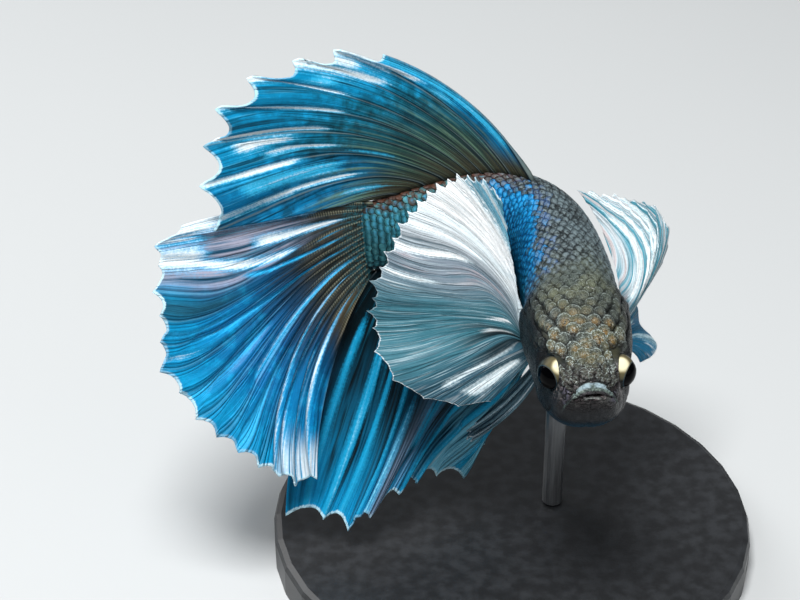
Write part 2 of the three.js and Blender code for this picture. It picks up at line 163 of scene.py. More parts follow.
def face_push(right, up, station):
    """How far the face stands out of its plain form: lips, mouth, nostrils and chin."""
    wide = abs(right - MOUTH_MIDDLE)
    push = 0.0
    if station < 2.4:
        fade = ease(station, 2.4, 1.5) if station > 1.5 else 1.0
        below = lip_arc(wide) - up
        at_side = ease(wide, MOUTH_HALF + 0.35, MOUTH_HALF - 0.1) if wide > MOUTH_HALF - 0.1 else 1.0
        band = max(lip_arc(wide) - mouth_line(wide), 0.36)
        if 0 < below < band:
            push += 0.24 * math.sin(math.pi * below / band) ** 0.7 * at_side
        push -= 0.13 * bell(below + 0.1, 0.11) * at_side * fade
        line = up - mouth_line(wide)
        gape = ease(wide, 0.95, 0.6) if wide > 0.6 else 1.0
        push -= (0.08 + 0.4 * gape) * bell(line, 0.07 + 0.04 * gape) * at_side
        lower = ease(wide, 2.2, 1.2) if wide > 1.2 else 1.0
        push += 0.09 * bell(line + 0.26, 0.12) * lower
        if -2.6 < up < 0.2:
            push -= 0.12 * bell(wide - 2.75, 0.14) * ease(up, 0.2, -0.6) * ease(up, -2.6, -1.6)
    if up < -1.0:
        push += 0.5 * ease(-up, 1.2, 3.4) * (1 - ease(station, 4.5, 8.5))
        push -= 0.16 * bell(right, 0.16) * ease(-up, 1.0, 2.6) * (1 - ease(station, 5, 9))
    if station < 4:
        wide = abs(right)
        nose = math.hypot(wide - SNOUT_BUMP[0], (up - SNOUT_BUMP[1]) * 0.9, (station - SNOUT_BUMP[2]) * 0.6)
        push += 0.24 * bell(nose, 0.5)
        slit = math.hypot((wide - NOSTRIL[0]) * 0.8, up - NOSTRIL[1])
        push -= 0.2 * bell(slit, 0.16) * (1 - ease(station, 2.4, 3))
    return push


def around_eye(side, point):
    """Bends a point of the face (right, up, station) round one eyeball and out of its opening."""
    centre = Vector(EYE_AT[side])
    out = EYE_OUT[side]
    away = point - centre
    reach = EYE_RADIUS + LID_DEPTH
    if away.length > reach + 1.6:
        return point
    gap = (away.length - reach) / 0.35
    if gap < 1:
        lifted = reach if gap < -1 else reach + 0.35 * (gap + 1) ** 2 / 4
        away = away * (lifted / max(away.length, 0.01))
    height = away.dot(out)
    flat = away - out * height
    ring = flat.length
    rim = 0.3
    if height > rim and ring < 2.9:
        height = rim + (height - rim) * ease(ring, 1.8, 2.9) + 0.1 * bell(ring - 1.93, 0.12)
        if ring < 1.76:
            height = rim - 0.5 * ease(1.76 - ring, 0, 0.12)
            flat = flat * (1.6 / max(ring, 1.6)) if ring > 1.6 else flat
    return centre + flat + out * height


def gill_edge(angle):
    """Station of the gill cover's free edge."""
    return 14.1 - 1.5 * ((abs(angle) - 98) / 52) ** 2


def flesh(station, angle, proud=0.0):
    """A point of the skin. The angle runs from the back (0) over the right side (90) to the belly (180)."""
    top, bottom, half, square = girth_at(round(station, 3))
    turn = math.radians(angle)
    sin, cos = math.sin(turn), math.cos(turn)
    power = 2 / square
    closing = math.sqrt(max(1 - (max(0.6 - station, 0) / (0.6 + SNOUT_BULGE)) ** 2, 0))
    if station > BODY_LENGTH - 1.5:
        run_out = ease(station, BODY_LENGTH - 1.5, SKIN_LENGTH)
        half *= 1 - run_out
        top *= 1 - 0.06 * run_out
        bottom *= 1 - 0.06 * run_out
    right = math.copysign(abs(sin) ** power, sin) * half * closing
    up = math.copysign(abs(cos) ** power, cos) * (top if cos > 0 else bottom) * closing
    forward = min(max((2.2 - station) / 2.65, 0), 1) ** 0.7
    outward = math.sqrt(1 - forward * forward)
    push = proud
    wide = abs(angle)
    if station < 16 and 46 < wide < 160:
        hem = gill_edge(angle) - station
        on_cover = ease(wide, 60, 88) * (1 - ease(wide, 144, 158))
        if hem > 0:
            push += on_cover * 0.3 * bell(hem, 1.7)
        else:
            push -= on_cover * 0.12 * bell(hem, 0.5)
        push -= on_cover * 0.1 * bell(station - 8.6 + 1.2 * ((wide - 100) / 50) ** 2, 0.16)
    if station < 9:
        push += face_push(right, up, station)
    length = math.hypot(right, up)
    if length > 1e-6:
        right += right / length * outward * push
        up += up / length * outward * push
    station -= forward * push
    if station < 8:
        bent = around_eye(1 if right > 0 else -1, Vector((right, up, station)))
        right, up, station = bent
    return body_place(station, right, up)


def ring_station(t):
    """Station of a ring, t from 0 at the snout to 1 at the tail: the rings crowd at the mouth."""
    return -SNOUT_BULGE + (SKIN_LENGTH + SNOUT_BULGE) * t * t


def ring_of(station):
    """The t of a station."""
    return math.sqrt(max(station + SNOUT_BULGE, 0) / (SKIN_LENGTH + SNOUT_BULGE))


class Paint:
    """A number, colour or vector in one material, with arithmetic on numbers."""

    def __init__(self, tree, socket=None):
        self.tree, self.socket = tree, socket

    def node(self, kind, settings=None, inputs=None, output=0):
        made = self.tree.nodes.new(kind)
        for name, value in (settings or {}).items():
            if name == "stops":
                ramp = made.color_ramp.elements
                while len(ramp) < len(value):
                    ramp.new(0.5)
                for stop, (place, colour) in zip(ramp, value):
                    stop.position = place
                    stop.color = colour
            else:
                setattr(made, name, value)
        for name, value in (inputs or {}).items():
            if isinstance(value, Paint):
                self.tree.links.new(value.socket, made.inputs[name])
            else:
                made.inputs[name].default_value = value
        return Paint(self.tree, made.outputs[output])

    def maths(self, operation, first, second=0.0):
        return self.node("ShaderNodeMath", {"operation": operation}, {0: first, 1: second})

    def __add__(self, other):
        return self.maths("ADD", self, other)

    __radd__ = __add__

    def __sub__(self, other):
        return self.maths("SUBTRACT", self, other)

    def __rsub__(self, other):
        return self.maths("SUBTRACT", other, self)

    def __mul__(self, other):
        return self.maths("MULTIPLY", self, other)

    __rmul__ = __mul__

    def __truediv__(self, other):
        return self.maths("DIVIDE", self, other)

    def __pow__(self, other):
        return self.maths("POWER", self, other)

    def __abs__(self):
        return self.maths("ABSOLUTE", self)

    def rise(self, low, high):
        """0 at low, 1 at high, smooth between; low may be above high."""
        limits = {"Value": self, "From Min": min(low, high), "From Max": max(low, high)}
        up = self.node("ShaderNodeMapRange", {"interpolation_type": "SMOOTHSTEP"}, limits)
        return up if low < high else 1 - up

    def hump(self, middle, width):
        """1 at the middle, falling to 0 a width away on both sides."""
        return abs(self - middle).rise(width, 0)

    def over(self, under, top):
        """The colour top where this mask is 1 and under where it is 0; a colour may be its six-digit code."""
        under, top = (tone(colour) if isinstance(colour, str) else colour for colour in (under, top))
        return self.node("ShaderNodeMix", {"data_type": "RGBA"}, {0: self, 6: under, 7: top}, 2)

    def own_place(self):
        """The place on the piece itself, in metres."""
        return self.node("ShaderNodeTexCoord", output=3)

    def map_place(self, name):
        """The two numbers of a place on a UV map."""
        parts = self.node("ShaderNodeSeparateXYZ", {}, {0: self.node("ShaderNodeUVMap", {"uv_map": name})})
        return parts, Paint(self.tree, parts.socket.node.outputs[1])

    def grain(self, vector, scale, detail=2.0, roughness=0.5):
        inputs = {"Vector": vector, "Scale": scale, "Detail": detail, "Roughness": roughness}
        return self.node("ShaderNodeTexNoise", {}, inputs)

    def stretch(self, vector, scale):
        return self.node("ShaderNodeVectorMath", {"operation": "MULTIPLY"}, {0: vector, 1: scale})

    def bump(self, height, distance, strength=1.0):
        """Relief of a height in millimetres."""
        inputs = {"Height": height, "Distance": distance * METRES, "Strength": strength}
        return self.node("ShaderNodeBump", {}, inputs)

    def feed(self, links):
        shader = self.tree.nodes["Principled BSDF"]
        for socket, value in links.items():
            self.tree.links.new(value.socket, shader.inputs[socket])

    def along(self, vector, way, offset):
        """How far a place lies along a direction."""
        gap = self.node("ShaderNodeVectorMath", {"operation": "SUBTRACT"}, {0: vector, 1: offset})
        return self.node("ShaderNodeVectorMath", {"operation": "DOT_PRODUCT"}, {0: gap, 1: way}, 1)


def tone(code):
    """A linear colour from its usual six-digit code."""
    parts = [int(code[i : i + 2], 16) / 255 for i in (0, 2, 4)]
    return tuple(p / 12.92 if p < 0.04045 else ((p + 0.055) / 1.055) ** 2.4 for p in parts) + (1.0,)


def layered(ground, coats):
    """Colours laid one over another, each where its mask is 1."""
    for mask, colour in coats:
        ground = mask.over(ground, colour)
    return ground


def new_finish(name, constants):
    """A material and its paint; the constants go on the shader's own sockets."""
    finish = bpy.data.materials.new(name)
    finish.use_nodes = True
    for socket, value in constants.items():
        finish.node_tree.nodes["Principled BSDF"].inputs[socket].default_value = value
    return finish, Paint(finish.node_tree)


def finished(bm, name, finish, nodes, smooth=True):
    """The piece itself: its mesh in metres, riding on the fish and standing for its solids."""
    bmesh.ops.scale(bm, vec=[METRES] * 3, verts=bm.verts)
    for face in bm.faces:
        face.smooth = smooth
    mesh = bpy.data.meshes.new(name)
    bm.to_mesh(mesh)
    bm.free()
    piece = bpy.data.objects.new(name, mesh)
    bpy.context.scene.collection.objects.link(piece)
    mesh.materials.append(finish)
    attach(piece, "root")
    if nodes:
        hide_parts(*nodes)
    return piece


def body_markings(paint, station, angle, left, stray):
    """The fish's colours by station and by angle from the back, with painted shade on the azure towards the head
    and on the head's sides and underside; skin and scales both wear them.
    On the left flank the azure starts lower, and a stray scale takes its colours a few degrees from its place."""
    place = paint.own_place()
    cloud = paint.grain(place, 420, 3)
    speck = paint.grain(place, 1600, 3)
    grit = paint.grain(place, 3200, 3, 0.7)
    shifted = angle + (cloud - 0.5) * 44 + (speck - 0.5) * 22
    back = layered("50543f", [
        (station.rise(13, 21), "4a575c"),
        (cloud.rise(0.4, 0.62), "2b3336"),
        (speck.rise(0.52, 0.66) * 0.6, "5d6a70"),
        (speck.rise(0.46, 0.36) * 0.7, "15191b"),
    ])
    low = shifted - left * LEFT_FLANK_LOWER + stray
    azure = layered("0b7cba", [
        (low.rise(40, 66), "04548a"),
        (low.rise(62, 96), "033a4c"),
        # Towards the head the azure is darkened: painted shade.
        (station.rise(19, 12), "042634"),
        (speck.rise(0.5, 0.38) * 0.5, "032a40"),
    ])
    border = station.rise(19, 28) * 22
    fringe = (low + border).hump(36, 16) * speck.rise(0.42, 0.6)
    back = (fringe * 0.7).over(back, "31578e")
    colour = (low + border).rise(40, 50).over(back, azure)
    stalk = layered("453a33", [
        (shifted.rise(26, 44), "235c66"),
        (speck.rise(0.45, 0.7), "3f7f86"),
    ])
    colour = layered(colour, [
        (station.rise(31.5, 36), stalk),
        (station.rise(29, 32) * shifted.rise(17, 9) * 0.85, "4a2c1f"),
        (shifted.rise(128, 158), "0b222c"),
    ])
    crown = layered("3d4340", [
        (cloud.rise(0.36, 0.62), "5a5a44"),
        (station.rise(8, 13), cloud.rise(0.4, 0.62).over("3b4440", "565a46")),
    ])
    # The head's sides are dark grey gill covers; they and the underside of the head are darkened to near black as
    # painted shade.
    side = layered(crown, [
        ((shifted + station.rise(7, 12) * 6).rise(44, 66), "090d10"),
        (shifted.rise(60, 80) * speck.rise(0.5, 0.7) * 0.35, "20282c"),
    ])
    head = shifted.rise(104, 140).over(side, "060f16")
    colour = (station + (cloud - 0.5) * 5).rise(17.5, 12.5).over(colour, head)
    return colour, cloud, speck, grit, place


def skin_depth(station, angle):
    """The skin lies under the scales by their thickness and comes up to the surface where it is bare."""
    wide = abs(angle)
    bare = max(ease(station, 9.5, 8) * ease(wide, 118, 132), ease(station, 3.0, 2.2) * ease(wide, 66, 78))
    return COAT_DEPTH - 0.14 * bare


RINGS, AROUND = 240, 208
flesh_form = bmesh.new()
bmesh.ops.create_grid(flesh_form, x_segments=RINGS, y_segments=AROUND, size=1)
unwrap = flesh_form.loops.layers.uv.new("OFBake")
body_map = flesh_form.loops.layers.uv.new("Body")
for face in flesh_form.faces:
    for loop in face.loops:
        t, turn = (loop.vert.co.x + 1) / 2, (loop.vert.co.y + 1) / 2
        loop[unwrap].uv = (t, turn)
        loop[body_map].uv = (ring_station(t) / MAP_LENGTH, turn)
for vert in flesh_form.verts:
    t, angle = (vert.co.x + 1) / 2, 180 * vert.co.y
    station = ring_station(t)
    vert.co = flesh(station, angle, -skin_depth(station, angle))
bmesh.ops.remove_doubles(flesh_form, verts=flesh_form.verts, dist=0.0008)
bmesh.ops.recalc_face_normals(flesh_form, faces=flesh_form.faces)

skin_finish, paint = new_finish(
    "wet skin", {"Roughness": 0.36, "Coat Weight": 0.08, "Coat Roughness": 0.15, "Specular IOR Level": 0.18}
)
along, turning = paint.map_place("Body")
station, angle = along * MAP_LENGTH, abs(turning - 0.5) * 360
colour, cloud, speck, grit, place = body_markings(paint, station, angle, turning.rise(0.502, 0.498), 0.0)
# Under the head's scales the skin is painted nearly black: painted shade in the gaps between the scales, and a
# dark ring round the eyes.
colour = (station.rise(14, 11) * 0.65).over(colour, "0b0c0b")
snout_back, snout_up, snout_right = axes_at(0)
snout_at = SNOUT * METRES
across = paint.along(place, snout_right, snout_at) / METRES
right = abs(across)
up = paint.along(place, snout_up, snout_at) / METRES
behind = paint.along(place, snout_back, snout_at) / METRES
muzzle = (behind + (cloud - 0.5) * 1.2).rise(3.0, 1.8) * (up - 0.2).rise(-2.4, -1.4)
folds = abs(paint.grain(place, 1250, 2, 0.55) - 0.5)
wrinkled = (folds + (grit - 0.5) * 0.06).rise(0.01, 0.1)
fleshy = layered("3b3234", [
    (cloud.rise(0.42, 0.6), "4a4a48"),
    ((right - 2.3).hump(0.0, 0.6), "4e4c5a"),
])
# On the muzzle the flesh is painted nearly black along the wrinkles: painted shade in the creases.
colour = layered(colour, [
    (muzzle, wrinkled.over("0d0b0c", fleshy)),
    (muzzle * (speck * 0.6 + grit * 0.4).rise(0.56, 0.68) * wrinkled * 0.7, "8f8584"),
])
# The jaw is painted darker towards the bottom as painted shade, with a bluish painted rim light along its lowest
# edge.
jaw = (up + right * 0.3).rise(-0.1, -1.1) * behind.rise(6.5, 4.5)
colour = layered(colour, [
    (jaw, (up * -1).rise(0.8, 2.6).over("1b1719", "080e13")),
    (jaw * speck.rise(0.5, 0.7) * 0.4, "2b2c31"),
    (jaw * (up * -1).rise(3.0, 4.4), "0f2f3f"),
])
pout = abs(across - MOUTH_MIDDLE)
below = arched(LIP_ARC, pout * pout) - up
front = behind.rise(2.2, 1.6) * pout.rise(2.85, 2.5)
meeting = up - arched(MOUTH_LINE, pout * pout)
inside = below.rise(0.3, 0.46) * meeting.rise(-0.1, 0.0) * pout.rise(1.9, 1.0) * front
lip = below.rise(-0.04, 0.1) * (below + pout * 0.1).rise(0.78, 0.5) * front
crease = paint.grain(paint.stretch(place, (5200, 5200, 900)), 1.0, 2, 0.7)
lip_tone = layered("333d3c", [
    ((crease * 0.6 + grit * 0.4).rise(0.4, 0.66), "74847c"),
    # The lighter band along the lip's top edge is a painted highlight.
    (below.hump(0.12, 0.13) * pout.hump(0.6, 1.6), "94a8b0"),
])
colour = layered(colour, [
    (lip, lip_tone),
    (inside * 0.85, speck.rise(0.4, 0.62).over("221d20", "3c373c")),
    # A pale line just under the mouth is a painted highlight on the lower lip; the black mouth slit and the dark
    # line along the upper lip's outer edge are painted shade in those creases.
    ((meeting + 0.24).hump(0, 0.1) * pout.rise(1.1, 0.4) * front * 0.8, "7d827f"),
    (meeting.hump(0, 0.14) * pout.rise(1.1, 0.6) * front, "030203"),
    (abs(below).rise(0.16, 0.03) * below.rise(0.02, -0.04) * front * 0.8, "0b090a"),
])
# The nostril pit is painted black: painted shade.
nostril = ((right - NOSTRIL[0]) * 0.8) ** 2 + (up - NOSTRIL[1]) ** 2
colour = (nostril.rise(0.045, 0.012) * front).over(colour, "030304")
paint.feed({"Base Color": colour})
grainy = grit * 0.8 + speck * 0.7 + wrinkled * muzzle * 1.4
paint.feed({"Normal": paint.bump(grainy, 0.12, 0.9)})

finished(
    flesh_form, "skin", skin_finish,
    ["head", "lower_jaw", "gill_cover_right", "gill_cover_left", "trunk", "tail_stalk"],
)

# ---------- Scales ----------
# Thin bony plates set in the skin like roof tiles, each with its free edge to the tail.
# Large and rough on the crown, small and close on the flanks and on the tail stalk.

SCALE_SIZE = [
    (0.4, 0.6), (1.6, 0.75), (3.2, 1.25), (5, 1.75), (7.5, 1.8), (10, 1.5), (13.5, 1.2), (17, 1.06),
    (24, 1.0), (30, 0.98), (38, 1.08), (48, 0.9),
]
ROW_STEP = 0.62  # of a scale's size
ACROSS_STEP = 0.86
PATCH_HALF = 0.0015  # half of a scale's patch on the OFBake map

chance = random.Random(11)


def ring_angles(station, count, shift):
    """Angles that share a ring's girth equally."""
    marks = 120
    points = [flesh(station, 360 * i / marks - 180) for i in range(marks + 1)]
    run = [0.0]
    for a, b in zip(points, points[1:]):
        run.append(run[-1] + (b - a).length)
    found = []
    i = 0
    for n in range(count):
        want = ((n + shift) % count) / count * run[-1]
        i = 0 if want < run[i] else i
        while run[i + 1] < want:
            i += 1
        found.append(360 * (i + (want - run[i]) / (run[i + 1] - run[i])) / marks - 180)
    return found, run[-1]


def clear_of_features(station, angle):
    """Scales leave the eyes, the lips and the bare throat free."""
    wide = abs(angle)
    if station < 2.6 and wide > 70:
        return False
    if station < 9 and wide > 126:
        return False
    if station < 8:
        top, bottom, half, square = girth_at(round(station, 3))
        sin, cos = math.sin(math.radians(wide)), math.cos(math.radians(wide))
        across = abs(sin) ** (2 / square) * half
        tall = math.copysign(abs(cos) ** (2 / square), cos) * (top if cos > 0 else bottom)
        if station < 2.6 and tall < lip_arc(across) + 0.45:
            return False
        gap = Vector((across, tall, station)) - Vector(EYE_AT[1])
        height = gap.dot(EYE_OUT[1])
        if (gap - EYE_OUT[1] * height).length < 1.78 and height > -0.9:
            return False
    if abs(station - gill_edge(angle) - 0.35) < 0.5 and 56 < wide < 146:
        return False
    return True


scales = []
station = 0.55
row = 0
while station < 48:
    size = between(SCALE_SIZE, station)[1]
    _, girth = ring_angles(station, 4, 0)
    count = 2 * round(girth / (size * ACROSS_STEP) / 2)
    angles, girth = ring_angles(station, count, 0.5 * (row % 2) + 0.25)
    loose = 0.22 if station < 14 else 0.2
    for angle in angles:
        at = station + chance.uniform(-1, 1) * loose * size * 0.5
        turned = angle + chance.uniform(-1, 1) * loose * 360 / count * 0.6
        grown = size * chance.uniform(1.02, 1.24) if station > 14 else size * chance.uniform(0.88, 1.25)
        if clear_of_features(at, turned):
            scales.append((at, turned, grown, 360 / girth, chance.random()))
    station += size * ROW_STEP
    row += 1

plate = bmesh.new()
bmesh.ops.create_grid(plate, x_segments=4, y_segments=5, size=1)
local = plate.loops.layers.uv.new("Scale")
for face in plate.faces:
    for loop in face.loops:
        x, y = loop.vert.co.xy
        loop[local].uv = (x * math.sqrt(1 - y * y / 2) / 2 + 0.5, y * math.sqrt(1 - x * x / 2) / 2 + 0.5)
for vert in plate.verts:
    x, y = vert.co.xy
    vert.co = (x * math.sqrt(1 - y * y / 2), y * math.sqrt(1 - x * x / 2), 0)
bmesh.ops.solidify(plate, geom=plate.faces[:], thickness=1)
bmesh.ops.recalc_face_normals(plate, faces=plate.faces)
plate_low = min(vert.co.z for vert in plate.verts) + 0.5
plate_mesh = bpy.data.meshes.new("scale plate")
plate.to_mesh(plate_mesh)
plate_size = len(plate.verts)
plate.free()


def coat(name, chosen, finish):
    """Lays the chosen scales over the skin as one piece."""
    cover = bmesh.new()
    for _ in chosen:
        cover.from_mesh(plate_mesh)
    unwrap = cover.loops.layers.uv.new("OFBake")
    body_map = cover.loops.layers.uv.new("Body")
    tint = cover.loops.layers.uv.new("Tint")
    cover.verts.ensure_lookup_table()
    cover.verts.index_update()
    spots = []
    for number, vert in enumerate(cover.verts):
        at, turned, size, degrees, luck = chosen[number // plate_size]
        x, y, z = vert.co
        long = 0.6 if at < 33 else 0.52
        station = at + y * size * long
        angle = turned + x * size * 0.5 * degrees
        dome = 1 - 0.55 * (x * x + y * y)
        rise = -0.13 + 0.075 * y + 0.1 * dome
        if at < 22:
            swell = (1 - ease(at, 13, 22)) * ease(at, 0.5, 3)
            rise += (0.14 * dome - 0.03 + 0.06 * (luck - 0.5) * (1 + y)) * swell
        if z < plate_low:
            rise -= 0.1
        spots.append((station, angle, at, turned, x, y, luck))
        vert.co = flesh(station, angle, rise)
    for face in cover.faces:
        for loop in face.loops:
            station, angle, at, turned, x, y, luck = spots[loop.vert.index]
            root = (ring_of(at), turned / 360 + 0.5)
            loop[unwrap].uv = (root[0] + PATCH_HALF * y, root[1] + PATCH_HALF * x)
            loop[body_map].uv = (at / MAP_LENGTH + (station - at) / 120, turned / 360 + 0.5)
            loop[tint].uv = (luck, (luck * 7.31) % 1)
    return finished(cover, name, finish, [])


scale_finish, paint = new_finish(
    "scales", {"Roughness": 0.38, "Coat Weight": 0.08, "Coat Roughness": 0.2, "Specular IOR Level": 0.16}
)
along, turning = paint.map_place("Body")
station, angle = along * MAP_LENGTH, abs(turning - 0.5) * 360
across, down = paint.map_place("Scale")
x, y = across * 2 - 1, down * 2 - 1
luck = paint.map_place("Tint")[0]
left = turning.rise(0.502, 0.498)
colour, cloud, speck, grit, place = body_markings(paint, station, angle, left, (luck - 0.5) * 22)
from_middle = (x * x + y * y) ** 0.5
on_head = station.rise(16.5, 12)
on_crown = on_head * (angle + (cloud - 0.5) * 30).rise(72, 44)
brow = station.rise(9, 5)
on_stalk = station.rise(32, 36)
plain = (1 - on_head) * (1 - on_stalk)
muzzle = station.rise(3.0, 1.8)
knobs = paint.grain(place, 5600, 2, 0.6)
wires = abs(paint.grain(place, 2100, 3, 0.6) - 0.5).rise(0.035, 0.006)
rough_edge = from_middle + (speck - 0.5) * 0.3 + (grit - 0.5) * 0.2
colour = paint.node("ShaderNodeHueSaturation", {}, {"Value": 0.65 + luck * 0.6, "Color": colour})
gold = (rough_edge + y * 0.35).rise(0.85, 0.0) * on_crown * (luck + (cloud - 0.5) * 2.4).rise(0.15, 0.75)
gold = gold * station.hump(6.2, 5.4) * angle.rise(60, 24)
colour = (gold * 0.9).over(colour, grit.rise(0.35, 0.65).over("563a12", "946c28"))
ring_line = paint.maths("SINE", rough_edge * 30) * 0.5 + 0.5
colour = layered(colour, [
    (on_crown * ring_line * 0.5 * rough_edge.rise(0.1, 0.5), "191a15"),
    (muzzle * 0.8, grit.rise(0.4, 0.6).over("1a1617", "3f3838")),
])
fans = {0: x / (from_middle + 0.1) * 9 + luck * 40, 1: from_middle * 2.5}
spokes = paint.grain(paint.node("ShaderNodeCombineXYZ", {}, fans), 1.0, 2)
# A pale streaked patch on each crown scale's dome is a painted highlight, broken by the radial lines.
dome_highlight = (rough_edge - y * 0.3).rise(0.75, 0.1)
colour = (dome_highlight * on_crown * spokes.rise(0.4, 0.6) * 0.3).over(colour, "8d9686")
pale = rough_edge.hump(0.78, 0.13) * on_crown * (y + (cloud - 0.5) * 1.2).rise(0.05, 0.5)
pale = pale * knobs.rise(0.36, 0.56) * (1 - muzzle * 0.7) * (0.35 + 0.4 * brow + 0.25 * luck)
colour = pale.over(colour, "a7b3ae")
crinkled = wires * on_crown * (0.2 + brow * (0.25 + 0.5 * luck.rise(0.4, 0.8))) * knobs.rise(0.35, 0.6)
colour = layered(colour, [
    (crinkled, "bccac6"),
    ((grit + (speck - 0.5) * 0.5).rise(0.42, 0.28) * on_head * 0.7, "0b0c0a"),
])
# Each head scale is painted dark at its front: painted shadow cast by the free edge of the scale before it.
overlap_shadow = (rough_edge * 0.6 - y).rise(0.35, 0.95)
colour = (overlap_shadow * on_head * 0.75).over(colour, "090b0a")
# Each scale's dark outline is partly its own dark border and partly painted shade where the scales overlap.
edge = rough_edge.rise(0.86, 0.98)
colour = (edge * (0.7 + 0.2 * on_stalk)).over(colour, "07090a")
gleam = (y - 0.1).hump(0.25, 0.5) * from_middle.rise(0.8, 0.3) * (1 - on_head)
blue = (angle - left * LEFT_FLANK_LOWER + station.rise(19, 28) * 22).rise(42, 54)
# The gleam is a painted highlight on the flank and stalk scales; on the back scales a lighter middle is a painted
# highlight on the dome, and a darker rim is painted shade.
colour = layered(colour, [
    (gleam * blue * angle.rise(104, 70) * (speck + 0.2).rise(0.4, 0.9) * 0.75, "38b0ea"),
    (gleam * on_stalk * angle.rise(26, 40) * 0.45, "5aa0a6"),
    ((rough_edge - y * 0.4).rise(0.7, 0.2) * (1 - blue) * plain * 0.55 * grit.rise(0.35, 0.6), "7f8f93"),
    (rough_edge.rise(0.7, 0.95) * (1 - on_head) * (1 - on_stalk) * speck.rise(0.6, 0.4) * 0.6, "0b1216"),
    ((speck * 0.6 + grit * 0.4).rise(0.5, 0.4) * (1 - blue) * plain * 0.55, "1b2224"),
])
scar_x = (angle + (speck - 0.5) * 12 - 17) / 6
scar_y = (station + (grit - 0.5) * 0.8 - 11.5) / 0.75
scar = (scar_x * scar_x + scar_y * scar_y).hump(1.0, 0.5) * left * knobs.rise(0.38, 0.5)
colour = (scar * station.rise(10.9, 11.2)).over(colour, "f0efe2")
paint.feed({"Base Color": colour})
metal = (1 - on_head) * angle.rise(30, 50) * angle.rise(160, 120)
paint.feed({"Metallic": metal * 0.12})
relief = grit * 0.9 + speck * 0.8 + knobs * 0.9 * on_crown + ring_line * 0.35 * on_head
paint.feed({"Normal": paint.bump(relief, 0.13, 1.0)})

coat("scales_head", [s for s in scales if s[0] < 14.2], scale_finish)
coat("scales_trunk", [s for s in scales if 14.2 <= s[0] < 31], scale_finish)
coat("scales_stalk", [s for s in scales if s[0] >= 31], scale_finish)

# ---------- Eyes ----------
# Glossy balls set in the sockets and looking forward: a wide black pupil, a dark iris with a blue-grey rim,
# and a pale cream patch on the upper iris that brightens to a painted highlight in its middle.

GAZE = {1: Vector((0.77, -0.06, -0.64)), -1: Vector((-0.86, -0.08, -0.5))}  # right, up, station
PATCH = {1: Vector((-0.2, 0.8, -0.56)), -1: Vector((-0.1, 0.84, -0.54))}


def face_way(way):
    back, up, side = axes_at(0)
    return (side * way.x + up * way.y + back * way.z).normalized()


for side, name in ((1, "eye_right"), (-1, "eye_left")):
    right, up, behind = EYE_AT[side]
    centre = body_place(behind, right, up)
    gaze, patch = face_way(GAZE[side]), face_way(PATCH[side])
    ball = bmesh.new()
    bmesh.ops.create_uvsphere(ball, u_segments=72, v_segments=48, radius=EYE_RADIUS)
    for vert in ball.verts:
        lean = vert.co.normalized().z
        vert.co *= 1 + 0.045 * ease(lean, 0.6, 0.95)
    turn = gaze.to_track_quat("Z", "Y").to_matrix().to_4x4()
    bmesh.ops.transform(ball, matrix=Matrix.Translation(centre) @ turn, verts=ball.verts)
    eye_finish, paint = new_finish("wet " + name, {"Roughness": 0.1, "Specular IOR Level": 0.05})
    place = paint.own_place()
    spoke = paint.node("ShaderNodeVectorMath", {"operation": "SUBTRACT"}, {0: place, 1: centre * METRES})
    spoke = paint.node("ShaderNodeVectorMath", {"operation": "NORMALIZE"}, {0: spoke})
    look = paint.along(spoke, gaze, (0, 0, 0))
    crest = paint.along(spoke, patch, (0, 0, 0))
    fleck = paint.grain(place, 2400, 3)
    iris = fleck.rise(0.35, 0.65).over("151a1e", "3a3f3c")
    colour = layered(iris, [
        ((look + (fleck - 0.5) * 0.12).rise(0.52, 0.3), "2c2c26"),
        ((crest + (fleck - 0.5) * 0.2).rise(0.4, 0.82), "59533d"),
    ])
    # The cream patch is pale iris, brightening to a painted highlight at its middle.
    cream_and_highlight = crest.rise(0.84, 0.97).over("8a7c58", "e2dcba")
    colour = layered(colour, [
        ((crest + (fleck - 0.5) * 0.06).rise(0.82, 0.92), cream_and_highlight),
        (look.hump(0.655, 0.03) * 0.8, "2c4552"),
        (look.rise(0.66, 0.69), "010102"),
        (look.rise(0.08, -0.15), "0c151a"),
    ])
    paint.feed({"Base Color": colour})
    finished(ball, "wet_" + name, eye_finish, [name])

# ---------- Fins ----------
# Each fin is a thin wet membrane stretched between soft bony rays that fan out from its root.
# It lies in soft folds that catch the light; its edge is cut back in bays and the rays' white tips stand out.

FIN_GAP = 0.3
ROOT_DEPTH = 0.9  # the rays start this deep in the flesh
MEMBRANE = 0.15


def skin_point(station, angle, proud):
    """A point of the body's plain outline, without the features of the face."""
    top, bottom, half, square = girth_at(round(station, 3))
    sin, cos = math.sin(math.radians(angle)), math.cos(math.radians(angle))
    right = math.copysign(abs(sin) ** (2 / square), sin) * (half + proud)
    up = math.copysign(abs(cos) ** (2 / square), cos) * ((top if cos > 0 else bottom) + proud)
    return body_place(station, right, up)


def dorsal_root(u):
    station = 29.6 + 16.2 * u
    back, up, side = axes_at(station)
    return skin_point(station, 0, FIN_GAP), up, back, side


def anal_root(u):
    station = 22.4 + 24 * u
    back, up, side = axes_at(station)
    return skin_point(station, 180, FIN_GAP), -up, back, side


def tail_root(u):
    back, up, side = axes_at(BODY_LENGTH)
    return body_place(BODY_LENGTH + FIN_GAP, 0, 4.3 - 9.2 * u), back, up, side


def pectoral_root(sign):
    def at(u):
        back, up, side = axes_at(15.3)
        return skin_point(15.3 + 0.6 * u, sign * (97 + 45 * u), 1.5 * FIN_GAP), side * sign, up, back
    return at


def pelvic_root(sign):
    def at(u):
        station = 16 + 1.2 * u
        back, up, side = axes_at(station)
        return skin_point(station, sign * 160, FIN_GAP), -up, back, side * sign
    return at


